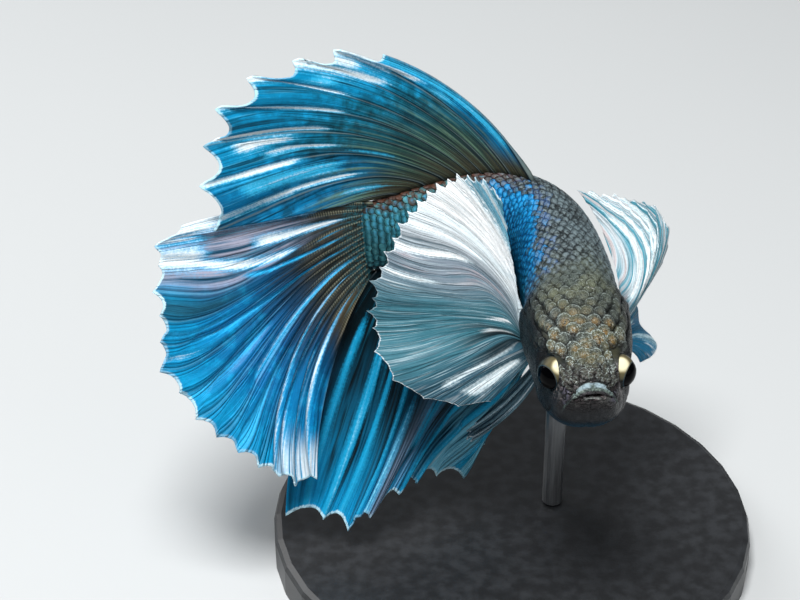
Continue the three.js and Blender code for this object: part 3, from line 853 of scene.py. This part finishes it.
def fin_path(root_at, rays, u, rows, cut):
    """The points of one ray from inside the flesh to its tip, with the solids' own bends."""
    _, rake, sweep, side, lean, length = between(rays, u)
    point, out, along, face = root_at(u)
    path = []
    for r in range(rows):
        t = (r + 0.5) / rows
        a, b = math.radians(rake + sweep * t), math.radians(side + lean * t)
        way = out * math.cos(b) * math.cos(a) + along * math.cos(b) * math.sin(a) + face * math.sin(b)
        if r == 0:
            path.append(point - way * ROOT_DEPTH)
        point = point + way * (length * cut / rows)
        path.append(point)
    return path


def ray_through(swing, u, v):
    """Which ray crosses a place of the membrane, as the rays swing a little before they reach the edge."""
    _, at_root, halfway = between(swing, u)
    return u + at_root * (1 - v) ** 2 + halfway * 4 * v * (1 - v)


def fold_at(folds, ray, v):
    """Height, painted shine and painted white highlight of the soft folds at a place."""
    height = shine = white_highlight = 0.0
    for first, last, width, start, end, tall, glow, pale in folds:
        if start < v < end + 0.01:
            middle = first + (last - first) * (v - start) / (end - start)
            fade = ease(v, start, start + 0.15) * (1 - ease(v, end - 0.15, end) if end < 1 else 1)
            crest = bell(ray - middle, width) * fade
            height += tall * crest
            shine = max(shine, glow * crest)
            white_highlight = max(white_highlight, pale * glow * crest)
    return height, shine, white_highlight


def fin(name, root_at, rays, swing, folds, mains, finish, per_ray=14, rows=80, hollow=0.1, fray=0.0,
        pleat=0.1, ripple=0.3, seed=1):
    """One fin. Each ray key holds its place along the root, rake, sweep, side, lean and length."""
    columns = (mains - 1) * per_ray
    form = bmesh.new()
    bmesh.ops.create_grid(form, x_segments=columns, y_segments=rows, size=1)
    luck = random.Random(seed)
    ends = [luck.uniform(-0.02, 0.02) for _ in range(mains + 1)]
    sheet, cuts = [], []
    for c in range(columns + 1):
        u = c / columns
        near, part = divmod(u * (mains - 1), 1)
        near = int(near)
        bay = math.sqrt(math.sin(math.pi * part) ** 2 + 0.006) - 0.077
        cut = 1 - hollow * bay**0.75 - fray * abs(math.sin(3 * math.pi * part))
        cut += ends[near] * (1 - part) + ends[near + 1] * part
        sheet.append(fin_path(root_at, rays, u, rows, cut))
        cuts.append(cut)
    values = {key: form.verts.layers.float.new(key) for key in ("ray", "along", "shine", "white_highlight")}
    for vert in form.verts:
        c = round((vert.co.x + 1) / 2 * columns)
        r = round((vert.co.y + 1) / 2 * rows)
        u, v = c / columns, r / rows
        wide = sheet[min(c + 1, columns)][r] - sheet[max(c - 1, 0)][r]
        down = sheet[c][min(r + 1, rows)] - sheet[c][max(r - 1, 0)]
        ray = ray_through(swing, u, v * cuts[c])
        fold, shine, white_highlight = fold_at(folds, ray, v)
        fold += pleat * math.cos(2 * math.pi * ray * (mains - 1))
        fold += ripple * noise.noise(Vector((ray * mains * 0.9, v * 1.3, seed)))
        fold += 0.35 * ripple * noise.noise(Vector((ray * mains * 3.1, v * 2.2, seed + 9)))
        for key, value in zip(("ray", "along", "shine", "white_highlight"), (ray, v, shine, white_highlight)):
            vert[values[key]] = value
        vert.co = sheet[c][r] + wide.cross(down).normalized() * fold * min(1.4 * v, 1)
    form.normal_update()
    back_face = bmesh.ops.extrude_face_region(form, geom=form.faces[:], use_keep_orig=True)
    for vert in back_face["geom"]:
        if isinstance(vert, bmesh.types.BMVert):
            vert.co += vert.normal * MEMBRANE
    bmesh.ops.recalc_face_normals(form, faces=form.faces)
    form.normal_update()
    for vert in form.verts:
        v = vert[values["along"]]
        ray = abs((vert[values["ray"]] * (mains - 1) + 0.5) % 1 - 0.5)
        ridge = 0.06 * bell(ray, 0.1) * (1 - 0.5 * v)
        vert.co += vert.normal * (ridge + 0.2 * (1 - ease(v, 0, 0.22)))
    rays_map = form.loops.layers.uv.new("Rays")
    folds_map = form.loops.layers.uv.new("Folds")
    for face in form.faces:
        for loop in face.loops:
            loop[rays_map].uv = (loop.vert[values["ray"]], loop.vert[values["along"]])
            loop[folds_map].uv = (loop.vert[values["shine"]], loop.vert[values["white_highlight"]])
    return finished(form, "membrane_" + name, finish, [name])


class FinPaint:
    """What every fin shares: rays that fork towards the edge, streaks along them, mottling and lit folds."""

    def __init__(self, name, mains, fork=0.16, gloss=0.42):
        self.finish, self.paint = new_finish(
            name, {"Roughness": gloss, "Coat Weight": 0.05, "Coat Roughness": 0.2, "Specular IOR Level": 0.1}
        )
        paint = self.paint
        spot = paint.node("ShaderNodeUVMap", {"uv_map": "Rays"})
        self.u, self.v = paint.map_place("Rays")
        self.shine, self.white_highlight = paint.map_place("Folds")
        place = paint.own_place()
        self.wander = paint.grain(paint.stretch(spot, (6, 2.5, 1)), 1.0, 2)
        self.streaks = paint.grain(paint.stretch(spot, (mains * 4.2, 1.5, 1)), 1.0, 3, 0.6)
        self.hairs = paint.grain(paint.stretch(spot, (mains * 17, 1.8, 1)), 1.0, 2, 0.6)
        self.threads = paint.grain(paint.stretch(spot, (mains * 46, 3, 1)), 1.0, 2, 0.7)
        self.mottle = paint.grain(place, 700, 4, 0.6)
        self.dust = paint.grain(place, 3600, 3, 0.7)
        count = self.u * (mains - 1) + (self.wander - 0.5) * 0.12
        self.gap = abs(paint.maths("FRACT", count + 0.5) - 0.5)
        forked = abs(self.gap - self.v.rise(0.15, 0.7) * fork)
        self.ray = abs(forked - self.v.rise(0.5, 0.95) * fork * 0.4)
        self.reach = self.v + (self.wander - 0.5) * 0.35 + (self.streaks - 0.5) * 0.2

    def across(self, start, end):
        """1 past a place along the root, with a ragged border; the start may lie beyond the end."""
        return (self.u + (self.wander - 0.5) * 0.05 + (self.streaks - 0.5) * 0.05).rise(start, end)

    def lit(self, colour, glow, pale):
        """The light that the folds catch: a glow on their flanks and a paler, streaked crest."""
        broken = (self.streaks - 0.5) * 0.8 + (self.hairs - 0.5) * 0.9 + (self.dust - 0.5) * 0.5
        colour = (self.shine + broken).rise(0.15, 0.8).over(colour, glow)
        return (self.white_highlight + broken * 1.2).rise(0.4, 1.0).over(colour, pale)

    def wear(self, colour, hem, metal, relief=0.16, hem_at=0.985):
        shade = 0.78 + self.threads * 0.3 + (self.dust - 0.5) * 0.28 + (self.mottle - 0.5) * 0.2
        colour = self.paint.node("ShaderNodeHueSaturation", {}, {"Value": shade, "Color": colour})
        edge = (self.v + (self.hairs - 0.5) * 0.02).rise(hem_at, min(hem_at + 0.008, 0.999))
        colour = (edge * (0.25 + 0.65 * self.wander.rise(0.35, 0.6))).over(colour, hem)
        lines = self.ray.rise(0.06, 0.01)
        height = lines * 0.8 + self.hairs * 0.8 + self.streaks * 0.9 + self.dust * 0.12
        relief = self.paint.bump(height, relief, 0.8)
        self.paint.feed({"Base Color": colour, "Metallic": metal * (1 - edge), "Normal": relief})
        return self.finish


# The dorsal fin stands on the back and leans to the tail: olive at the root, teal, then azure to the edge.
# Its rays' tips stand out like fingers, and the top and the rear lobes shine.
DORSAL_RAYS = [
    (0, 45, 10, -2, 46, 20.7), (0.14, 43, 18, -4, 41, 23.2), (0.29, 41, 26, -4, 27, 24.8),
    (0.43, 44, 25, -4, 20, 26.5), (0.57, 49, 25, -3, 17, 26.7), (0.71, 55, 25, -3, 15, 25.4),
    (0.86, 72, 4, -1, 11, 22.7), (1, 88, -4, 0, 2, 17.8),
]
DORSAL_SWING = [
    (0, 0, 0), (0.2, 0.02, 0), (0.35, 0.14, 0.02), (0.5, 0.28, 0.04), (0.75, 0.3, 0.04), (1, 0.2, 0.03),
]
# first and last ray, width, start and end along it, height, painted shine, painted white highlight
DORSAL_FOLDS = [
    (0.03, 0.03, 0.03, 0.1, 1, 0.2, 0.8, 0.4), (0.1, 0.08, 0.03, 0.4, 0.72, 0.1, 0.8, 0.5),
    (0.1, 0.12, 0.06, 0.62, 1, 0.2, 1, 1), (0.24, 0.26, 0.06, 0.6, 1, 0.2, 1, 1),
    (0.15, 0.16, 0.012, 0.03, 0.45, 0.1, 0.3, 0), (0.34, 0.36, 0.05, 0.72, 0.98, 0, 0.9, 0.6),
    (0.16, 0.18, 0.06, 0.78, 1, 0, 1, 0.8),
    (0.42, 0.43, 0.02, 0.6, 1, 0.3, 1, 1), (0.56, 0.565, 0.016, 0.5, 1, 0.35, 1, 1),
    (0.69, 0.7, 0.015, 0.45, 1, 0.4, 0.9, 1), (0.75, 0.76, 0.035, 0.6, 0.97, 0.1, 1, 0.85),
    (0.8, 0.81, 0.016, 0.4, 0.85, 0.2, 0.9, 0.9), (0.82, 0.83, 0.014, 0.12, 0.5, 0.2, 0.6, 0.4),
    (0.86, 0.86, 0.014, 0.5, 1, 0.35, 0.9, 1), (0.98, 0.97, 0.014, 0.2, 1, 0.3, 0.9, 1),
    (0.92, 0.91, 0.03, 0.3, 0.9, 0.1, 0.8, 0.5), (1.08, 1.06, 0.02, 0.02, 0.35, 0.2, 0.7, 0.6),
]
dorsal = FinPaint("dorsal fin", 8)
colour = layered("3f3c2e", [
    (dorsal.reach.rise(0.0, 0.25), "244642"),
    (dorsal.reach.rise(0.2, 0.5), "0b6278"),
    (dorsal.reach.rise(0.45, 0.8), "0488b8"),
    (dorsal.across(0.2, 0.04) * dorsal.v.rise(0.02, 0.2), "0372a4"),
    (dorsal.across(0.78, 0.95) * dorsal.v.rise(0.1, 0.4), "0478ac"),
    (dorsal.mottle.rise(0.56, 0.36) * dorsal.v.hump(0.5, 0.5) * 0.65, "063644"),
    (dorsal.streaks.rise(0.5, 0.34) * 0.75, "052632"),
    # Light blue lines along the rays in the upper fin are painted highlights.
    (dorsal.hairs.rise(0.58, 0.72) * dorsal.v.rise(0.3, 0.6) * 0.45, "58bfe6"),
    ((dorsal.mottle + (dorsal.streaks - 0.5) * 0.6).rise(0.52, 0.74) * dorsal.v.rise(0.35, 0.6) * 0.7,
     "14a2da"),
    (dorsal.streaks.rise(0.5, 0.66) * dorsal.v.hump(0.25, 0.35) * 0.75, "74967c"),
    (dorsal.hairs.rise(0.52, 0.68) * dorsal.v.rise(0.7, 0.2) * 0.35, "6c7562"),
    (dorsal.gap.rise(0.16, 0.05) * 0.5, "082a38"),
    (dorsal.gap.rise(0.035, 0.01) * 0.5, "7c8c8a"),
])
colour = dorsal.lit(colour, "36b6e4", "effafe")
dorsal_finish = dorsal.wear(colour, "bfe9f7", dorsal.v * 0.05)
fin(
    "dorsal_fin", dorsal_root, DORSAL_RAYS, DORSAL_SWING, DORSAL_FOLDS, 8, dorsal_finish,
    per_ray=22, rows=88, hollow=0.09, pleat=0.12, ripple=0.35, seed=3,
)

# The anal fin hangs under the belly and stalk in deep folds, with a painted azure glow on the crests and almost
# black between.
ANAL_RAYS = [
    (0, 10, -15, 16, 10, 19.1), (0.12, 1, -25, 21, 12, 21.9), (0.25, 6, -15, 29, 10, 22.9),
    (0.38, 11, 2, 34, 5, 24.1), (0.5, 18, 14, 36, 0, 25.5), (0.62, 23, 18, 35, -4, 27.9),
    (0.75, 20, 21, 30, -2, 30.1), (0.88, 23, 17, 21, 4, 28.1), (1, 54, -37, 8, 18, 27.7),
]
ANAL_SWING = [(0, 0.5, 0.12), (0.2, 0.5, 0.13), (0.35, 0.38, 0.1), (0.5, 0.17, 0.05), (0.65, 0, 0), (1, 0, 0)]
ANAL_FOLDS = [
    (0.26, 0.2, 0.02, 0.4, 1, 0.4, 0.8, 0.5), (0.36, 0.38, 0.018, 0.4, 1, 0.5, 0.8, 0.5),
    (0.45, 0.49, 0.018, 0.4, 1, 0.5, 0.8, 0.5), (0.57, 0.57, 0.03, 0.5, 0.9, 0.3, 0.7, 0),
    (0.65, 0.66, 0.016, 0.45, 1, 0.4, 0.6, 0.9), (0.72, 0.71, 0.01, 0.2, 1, 0.5, 0.6, 0.5),
    (0.8, 0.81, 0.016, 0.1, 1, 0.5, 0.7, 0.3), (0.87, 0.88, 0.014, 0.1, 1, 0.5, 0.9, 0.5),
    (0.94, 0.95, 0.01, 0.15, 1, 0.4, 0.7, 0.3),
]
anal = FinPaint("anal fin", 9, fork=0.2)
colour = layered("04151b", [
    (anal.reach.rise(0.25, 0.65), "044c68"),
    (anal.reach.rise(0.6, 1.0), "0586b8"),
    (anal.across(0.5, 0.3) * anal.streaks.rise(0.35, 0.5) * 0.85, "86d2ea"),
])
mauve = anal.u.hump(0.6, 0.12) * anal.v.rise(0.45, 0.85)
colour = layered(colour, [
    (mauve * anal.streaks.rise(0.35, 0.55) * 0.85, "77798a"),
    (anal.streaks.rise(0.54, 0.36) * anal.v.rise(1.1, 0.7), "020a0e"),
    (anal.hairs.rise(0.54, 0.7) * 0.3, "1f86a8"),
    (anal.gap.hump(0.06, 0.06) * 0.6, "03151c"),
])
colour = anal.lit(colour, "1596c4", "9adcf0")
colour = (anal.streaks.rise(0.64, 0.74) * anal.v.rise(0.75, 0.95) * 0.6).over(colour, "d5edf4")
anal_finish = anal.wear(colour, "bfe3ef", 0.05 * anal.v)
fin(
    "anal_fin", anal_root, ANAL_RAYS, ANAL_SWING, ANAL_FOLDS, 9, anal_finish, per_ray=20,
    rows=84, hollow=0.05, pleat=0.15, ripple=0.25, seed=5,
)

# The tail fin fans out from the stalk: grey folds on top with painted white highlights, saturated azure in the
# middle, painted white highlights on the crests and in a corner below, and brown-gold flesh with jointed rays at
# the root.
TAIL_RAYS = [
    (0, 15, -13, -10, 15, 19.8), (0.08, 11, -10, -7, 13, 22.6), (0.16, 7, -8, -4, 12, 23.4),
    (0.3, 3, -13, 3, 11, 25.2), (0.45, -1, -23, 7, 11, 26.4), (0.6, -3, -42, 9, 17, 26.4),
    (0.72, -6, -53, 12, 20, 25.9), (0.86, -19, -50, 18, 14, 25), (1, -34, -42, 26, -1, 22.8),
]
TAIL_SWING = [
    (0, 0, 0), (0.2, 0, -0.07), (0.35, 0, -0.13), (0.55, 0.01, -0.09), (0.72, 0, -0.08), (0.85, 0, 0.01),
    (0.95, 0, 0.03), (1, 0, 0),
]
TAIL_FOLDS = [
    (0.02, 0.01, 0.045, 0.15, 1, 0.5, 1, 1), (0.15, 0.11, 0.022, 0.04, 0.62, 0.6, 1, 1),
    (0.13, 0.12, 0.04, 0.7, 1, 0.1, 1, 1), (0.33, 0.33, 0.012, 0.6, 1, 0.2, 0.6, 0.2),
    (0.52, 0.51, 0.012, 0.45, 1, 0.3, 0.7, 0.1), (0.7, 0.7, 0.02, 0.5, 1, 0.3, 0.8, 0.3),
    (0.2, 0.12, 0.016, 0.26, 1, 0.5, 1, 0.9), (0.31, 0.18, 0.013, 0.05, 0.66, 0.6, 0.9, 0.5),
    (0.07, 0.06, 0.025, 0.7, 1, 0.3, 0.9, 0.9), (0.45, 0.355, 0.013, 0, 0.88, 0.6, 0.9, 0.35),
    (0.62, 0.62, 0.02, 0, 0.8, 0.7, 1, 0.6), (0.74, 0.84, 0.011, 0.05, 1, 0.6, 1, 0.8),
    (0.83, 0.88, 0.01, 0.2, 1, 0.5, 0.9, 0.7), (0.93, 0.985, 0.011, 0.05, 1, 0.5, 0.9, 0.8),
    (0.9, 0.94, 0.009, 0.35, 1, 0.4, 0.8, 0.8), (0.4, 0.4, 0.01, 0.78, 1, 0.2, 0.8, 0.8),
    (0.22, 0.22, 0.01, 0.02, 0.3, 0.3, 0.7, 0.2),
]
tail = FinPaint("tail fin", 15)
colour = layered("1b2a30", [
    (tail.reach.rise(0.2, 0.55), "034a76"),
    (tail.reach.rise(0.4, 0.7), "0274ae"),
    (tail.reach.rise(0.7, 1.0), "0796cc"),
    (tail.u.hump(0.62, 0.2) * tail.v.hump(0.62, 0.3) * 0.5, "0268b0"),
    (tail.mottle.rise(0.46, 0.7) * tail.v.rise(0.4, 0.7) * 0.6, "0ca8e0"),
])
top = tail.across(0.24, 0.17)
colour = layered(colour, [
    (top * tail.v.rise(0.15, 0.45), tail.streaks.rise(0.38, 0.6).over("23526e", "a5a6b9")),
    (tail.u.hump(0.255, 0.06) * tail.v.rise(0.45, 0.75) * 0.85, "20505f"),
    (tail.streaks.rise(0.44, 0.28) * 0.75, "06202e"),
    (tail.hairs.rise(0.55, 0.72) * 0.2 * tail.v.rise(0.3, 0.6), "2fa6da"),
    (tail.gap.hump(0.1, 0.09) * 0.55 * tail.streaks.rise(0.3, 0.55), "07243a"),
    # A thin light line down the middle of each ray is a painted highlight on its ridge.
    (tail.gap.rise(0.05, 0.01) * tail.v.rise(0.3, 0.6) * 0.3, "6fb0cc"),
])
root = (tail.v + (tail.mottle - 0.5) * 0.3 + (tail.streaks - 0.5) * 0.5).rise(0.45, 0.12)
colour = layered(colour, [
    (root * 0.85, tail.mottle.rise(0.4, 0.6).over("222929", "3d3a32")),
    (tail.across(0.88, 0.96) * tail.v.rise(0.45, 0.15) * 0.7, "57492e"),
])
fleshy = (tail.v + (tail.mottle - 0.5) * 0.25 + (tail.dust - 0.5) * 0.1).rise(0.15, 0.04)
colour = fleshy.over(colour, tail.dust.rise(0.42, 0.58).over("2e2c27", "2a5f68"))
joints = tail.paint.maths("SINE", tail.v * 520) * 0.5 + 0.5
colour = layered(colour, [
    (joints * tail.gap.rise(0.3, 0.12) * tail.v.rise(0.36, 0.15) * 0.75, "8f8f78"),
    (tail.streaks.rise(0.54, 0.68) * tail.v.hump(0.12, 0.14) * 0.6, "2f8ea8"),
])
# The white streaks in the lower corner are a painted highlight.
corner = tail.across(0.82, 0.93) * tail.reach.rise(0.76, 0.98)
corner = corner * (tail.hairs + tail.streaks * 0.5).rise(0.55, 0.8)
colour = tail.lit(colour, "2cb2ea", "eef9fe")
colour = (corner * 0.9).over(colour, "eef8fc")
tail_finish = tail.wear(colour, "c9ecf8", 0.05 * tail.v)
fin(
    "tail_fin", tail_root, TAIL_RAYS, TAIL_SWING, TAIL_FOLDS, 15, tail_finish, per_ray=15,
    rows=92, hollow=0.03, pleat=0.1, ripple=0.45, seed=8,
)

# The pectoral fins are wide pearly fans on short roots behind the gill covers.
PECTORAL_RIGHT_RAYS = [
    (0, 85, -8, 48, -26, 12.5), (0.1, 75, -2, 41, -20, 15.3), (0.2, 65, 4, 35, -12, 17),
    (0.32, 56, 0, 30, -6, 17.3), (0.44, 49, -10, 25, -5, 17.5), (0.56, 43, -24, 18, -3, 17.4),
    (0.68, 36, -36, 11, -2, 17.4), (0.8, 26, -42, 2, 4, 16.8), (0.88, 4, -19, -21, 16, 14.7),
    (0.94, -12, -13, -31, 16, 10.8), (1, -30, -2, -41, 14, 7.2),
]
RIGHT_SWING = [
    (0, 0.42, 0.12), (0.2, 0.38, 0.08), (0.4, 0.33, 0.06), (0.6, 0.26, -0.03), (0.75, 0.18, -0.03),
    (0.88, 0.05, 0), (1, 0, 0),
]
RIGHT_FOLDS = [
    (0.28, 0.26, 0.04, 0.3, 1, 0.15, 0.9, 1), (0.36, 0.36, 0.05, 0.3, 1, 0.2, 1, 1),
    (0.31, 0.3, 0.12, 0.25, 1, 0, 1, 1), (0.47, 0.46, 0.012, 0.4, 1, 0.15, 0.9, 1),
    (0.52, 0.53, 0.012, 0.45, 1, 0.15, 0.9, 1),
    (0.6, 0.6, 0.01, 0.6, 1, 0.1, 0.8, 0.8), (0.72, 0.75, 0.015, 0.05, 0.35, 0.2, 0.9, 1),
    (0.83, 0.83, 0.015, 0.02, 0.4, 0.25, 0.9, 1), (0.95, 0.95, 0.02, 0.1, 0.9, 0.3, 0.8, 0.8),
    (0.14, 0.12, 0.02, 0.4, 1, 0.1, 0.7, 0.8), (0.9, 0.91, 0.008, 0.05, 0.9, 0.2, 0.6, 0.8),
]
fan = FinPaint("right pectoral fin", 24, fork=0.2, gloss=0.45)
# The fan is white above, then mauve-grey, grey-teal and darker at the bottom: partly its own colours, partly
# painted light from above.
colour = layered("5aaecb", [
    (fan.across(0.18, 0.34), "eef5f8"),
    (fan.across(0.42, 0.54), "84919d"),
    (fan.across(0.56, 0.7), "3c7685"),
    (fan.across(0.84, 0.92), "2f5566"),
    (fan.streaks.rise(0.5, 0.34) * (0.3 + 0.35 * fan.across(0.35, 0.55)), "35606f"),
    (fan.hairs.rise(0.46, 0.34) * 0.4, "35525e"),
    (fan.hairs.rise(0.55, 0.68) * 0.4, "cfe3ea"),
    (fan.streaks.rise(0.55, 0.72) * (0.85 - 0.6 * fan.across(0.5, 0.7)), "f2f8fb"),
    ((fan.wander + fan.streaks * 0.5).rise(0.8, 0.95) * fan.u.hump(0.52, 0.14) * 0.7, "a48d93"),
    (fan.v.rise(0.3, 0.08) * fan.across(0.75, 0.6) * 0.6,
     fan.streaks.rise(0.4, 0.6).over("4a6874", "a2b9c2")),
])
colour = fan.lit(colour, "d5e8ef", "fafdfe")
band = (fan.gap + (fan.hairs - 0.5) * 0.3).rise(0.2, 0.32)
colour = (band * fan.v.rise(0.6, 0.25) * fan.u.hump(0.86, 0.12) * 0.95).over(colour, "0a1318")
right_finish = fan.wear(colour, "e8f2f6", 0.03 * fan.v, relief=0.14, hem_at=0.99)
fin(
    "pectoral_fin_right", pectoral_root(1), PECTORAL_RIGHT_RAYS, RIGHT_SWING, RIGHT_FOLDS, 24, right_finish,
    per_ray=10, rows=76, hollow=0.04, fray=0.008, pleat=0.05, ripple=0.35, seed=12,
)

PECTORAL_LEFT_RAYS = [
    (0, 70, 90, 77, -14, 17.1), (0.1, 49, 102, 64, 10, 15.9), (0.2, 38, 98, 52, 29, 15.9),
    (0.3, 36, 76, 41, 46, 16.3), (0.4, 37, 46, 34, 51, 16.2), (0.5, 40, 17, 33, 40, 15.5),
    (0.6, 42, 0, 33, 28, 13.9), (0.7, 41, -17, 35, 22, 11.8), (0.78, 37, -21, 37, 23, 9.6),
    (0.85, 27, -32, 42, 24, 7.3), (0.91, 11, -57, 41, 6, 7.4), (0.96, -1, -61, 39, -21, 9.4),
    (1, -7, -66, 29, -13, 7.3),
]
LEFT_SWING = [(0, 0, -0.2), (0.3, -0.2, -0.3), (0.5, -0.3, -0.3), (0.7, -0.1, -0.1), (0.85, 0, 0), (1, 0, 0)]
LEFT_FOLDS = [
    (0.05, 0.05, 0.02, 0.2, 1, 0.2, 0.9, 1), (0.13, 0.14, 0.015, 0.2, 1, 0.2, 0.9, 1),
    (0.2, 0.22, 0.02, 0.3, 1, 0.2, 0.9, 1), (-0.05, -0.05, 0.03, 0.1, 0.9, 0.1, 0.9, 1),
    (0.3, 0.3, 0.012, 0.4, 1, 0.1, 0.8, 1), (0.88, 0.88, 0.012, 0.1, 0.8, 0.2, 0.7, 0.8),
    (0.95, 0.95, 0.01, 0.2, 1, 0.2, 0.5, 0.8),
]
fan = FinPaint("left pectoral fin", 16, fork=0.2, gloss=0.45)
rays_map = fan.paint.node("ShaderNodeUVMap", {"uv_map": "Rays"})
stripes = fan.paint.grain(fan.paint.stretch(rays_map, (34, 0.8, 1)), 1.0, 2)
colour = layered("4a9bb0", [
    (stripes.rise(0.42, 0.56), "cfdce2"),
    (fan.across(0.83, 0.88) * fan.v.rise(0.05, 0.3), "0d6a90"),
    (fan.hairs.rise(0.5, 0.36) * 0.5, "4f6a75"),
    (fan.streaks.rise(0.55, 0.7) * 0.7, "f4f9fb"),
    ((stripes + fan.hairs * 0.4).rise(0.76, 0.86) * 0.6 * fan.across(0.8, 0.6), "c9aeac"),
    (fan.v.rise(0.35, 0.1) * 0.7, "3a4c5a"),
])
colour = fan.lit(colour, "b9e2ee", "fafdfe")
left_finish = fan.wear(colour, "f0f7fa", 0.03 * fan.v, relief=0.2)
fin(
    "pectoral_fin_left", pectoral_root(-1), PECTORAL_LEFT_RAYS, LEFT_SWING, LEFT_FOLDS, 16, left_finish,
    per_ray=14, rows=72, hollow=0.02, pleat=0.04, ripple=0.2, seed=14,
)

# The pelvic fins are two slim pale blades under the throat.
PELVIC_RIGHT_RAYS = [
    (0, -13, 15, 20, 36, 13.3), (0.5, -11, 16, 28, 21, 13.3), (1, -7, 19, 37, -4, 12.5),
]
PELVIC_LEFT_RAYS = [
    (0, 50, 5, 14, -4, 11.5), (0.5, 54, 5, 12, -2, 9.5), (1, 58, 5, 10, 0, 6.5),
]
PELVIC_SWING = [(0, 0, 0), (0.5, 0, 0), (1, 0, 0)]
PELVIC_FOLDS = [(0.1, 0.1, 0.05, 0.1, 1, 0.1, 0.9, 1), (0.6, 0.65, 0.04, 0.1, 1, 0.1, 0.7, 0.8)]
blade = FinPaint("pelvic fins", 4, gloss=0.4)
colour = layered("233f4c", [
    (blade.streaks.rise(0.35, 0.6), "6f8f9d"),
    (blade.hairs.rise(0.5, 0.36) * 0.6, "14242c"),
])
colour = blade.lit(colour, "a5c8d4", "f0f7fa")
blade_finish = blade.wear(colour, "e8f2f6", 0.03 * blade.v)
fin(
    "pelvic_fin_right", pelvic_root(1), PELVIC_RIGHT_RAYS, PELVIC_SWING, PELVIC_FOLDS, 4, blade_finish,
    per_ray=14, rows=60, hollow=0.05, pleat=0.08, ripple=0.15, seed=21,
)
fin(
    "pelvic_fin_left", pelvic_root(-1), PELVIC_LEFT_RAYS, PELVIC_SWING, PELVIC_FOLDS, 4, blade_finish,
    per_ray=14, rows=50, hollow=0.05, pleat=0.08, ripple=0.15, seed=23,
)

# ---------- Display stand ----------
# A heavy turned disc painted satin black, with one slim brushed-steel rod up into the belly.
base_finish, paint = new_finish("satin black base", {"Coat Weight": 0.15, "Coat Roughness": 0.3})
place = paint.own_place()
mottle = paint.grain(place, 700, 4)
paint.feed({
    "Base Color": mottle.rise(0.35, 0.7).over("17181a", "26282b"),
    "Roughness": 0.38 + mottle * 0.16,
    "Normal": paint.bump(paint.grain(place, 4200, 2), 0.02, 0.5),
})
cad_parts["stand_base"].material_slots[0].material = base_finish
rod_finish, paint = new_finish("brushed steel rod", {"Metallic": 1.0})
place = paint.own_place()
brushed = paint.grain(paint.stretch(place, (1, 1, 0.04)), 9000, 2)
paint.feed({
    "Base Color": brushed.over("8e9194", "c2c5c8"),
    "Roughness": 0.24 + brushed * 0.16,
    "Normal": paint.bump(brushed, 0.01, 0.4),
})
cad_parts["stand_rod"].material_slots[0].material = rod_finish

# ---------- Studio ----------
# A plain pale floor, a large soft lamp above the viewer and a weak one from the side.
ground = bmesh.new()
bmesh.ops.create_grid(ground, x_segments=1, y_segments=1, size=2.5)
ground_mesh = bpy.data.meshes.new("floor")
ground.to_mesh(ground_mesh)
ground.free()
floor = bpy.data.objects.new("floor", ground_mesh)
bpy.context.scene.collection.objects.link(floor)
floor_finish, paint = new_finish("pale floor", {"Roughness": 0.9})
place = paint.own_place()
paint.feed({"Base Color": paint.grain(place, 3, 3).over("b9bcbd", "c6c8c8")})
ground_mesh.materials.append(floor_finish)


def lamp(name, at, towards, size, watts):
    light = bpy.data.lights.new(name, "AREA")
    light.size = size
    light.energy = watts
    held = bpy.data.objects.new(name, light)
    held.location = at
    held.rotation_euler = (Vector(towards) - Vector(at)).to_track_quat("-Z", "Y").to_euler()
    bpy.context.scene.collection.objects.link(held)


fish_middle = (-0.008, 0.005, 0.036)
lamp("key", (-0.05, -0.14, 0.45), fish_middle, 0.16, 2.75)
lamp("fill", (0.3, -0.25, 0.2), fish_middle, 0.3, 0.2)
lamp("rim", (-0.28, 0.2, 0.3), fish_middle, 0.25, 0.9)
world = bpy.data.worlds.new("studio")
world.use_nodes = True
world.node_tree.nodes["Background"].inputs["Color"].default_value = (0.9, 0.95, 1, 1)
world.node_tree.nodes["Background"].inputs["Strength"].default_value = 0.19
bpy.context.scene.world = world
bpy.context.scene.view_settings.view_transform = "Standard"

lens = bpy.data.cameras.new("viewer")
lens.lens = 100
lens.sensor_width = 36
lens.clip_start = 0.01
viewer = bpy.data.objects.new("viewer", lens)
viewer.location = (-0.01219, -0.19138, 0.15607)
viewer.rotation_euler = (math.radians(57), 0, 0)
bpy.context.scene.collection.objects.link(viewer)
bpy.context.scene.camera = viewer
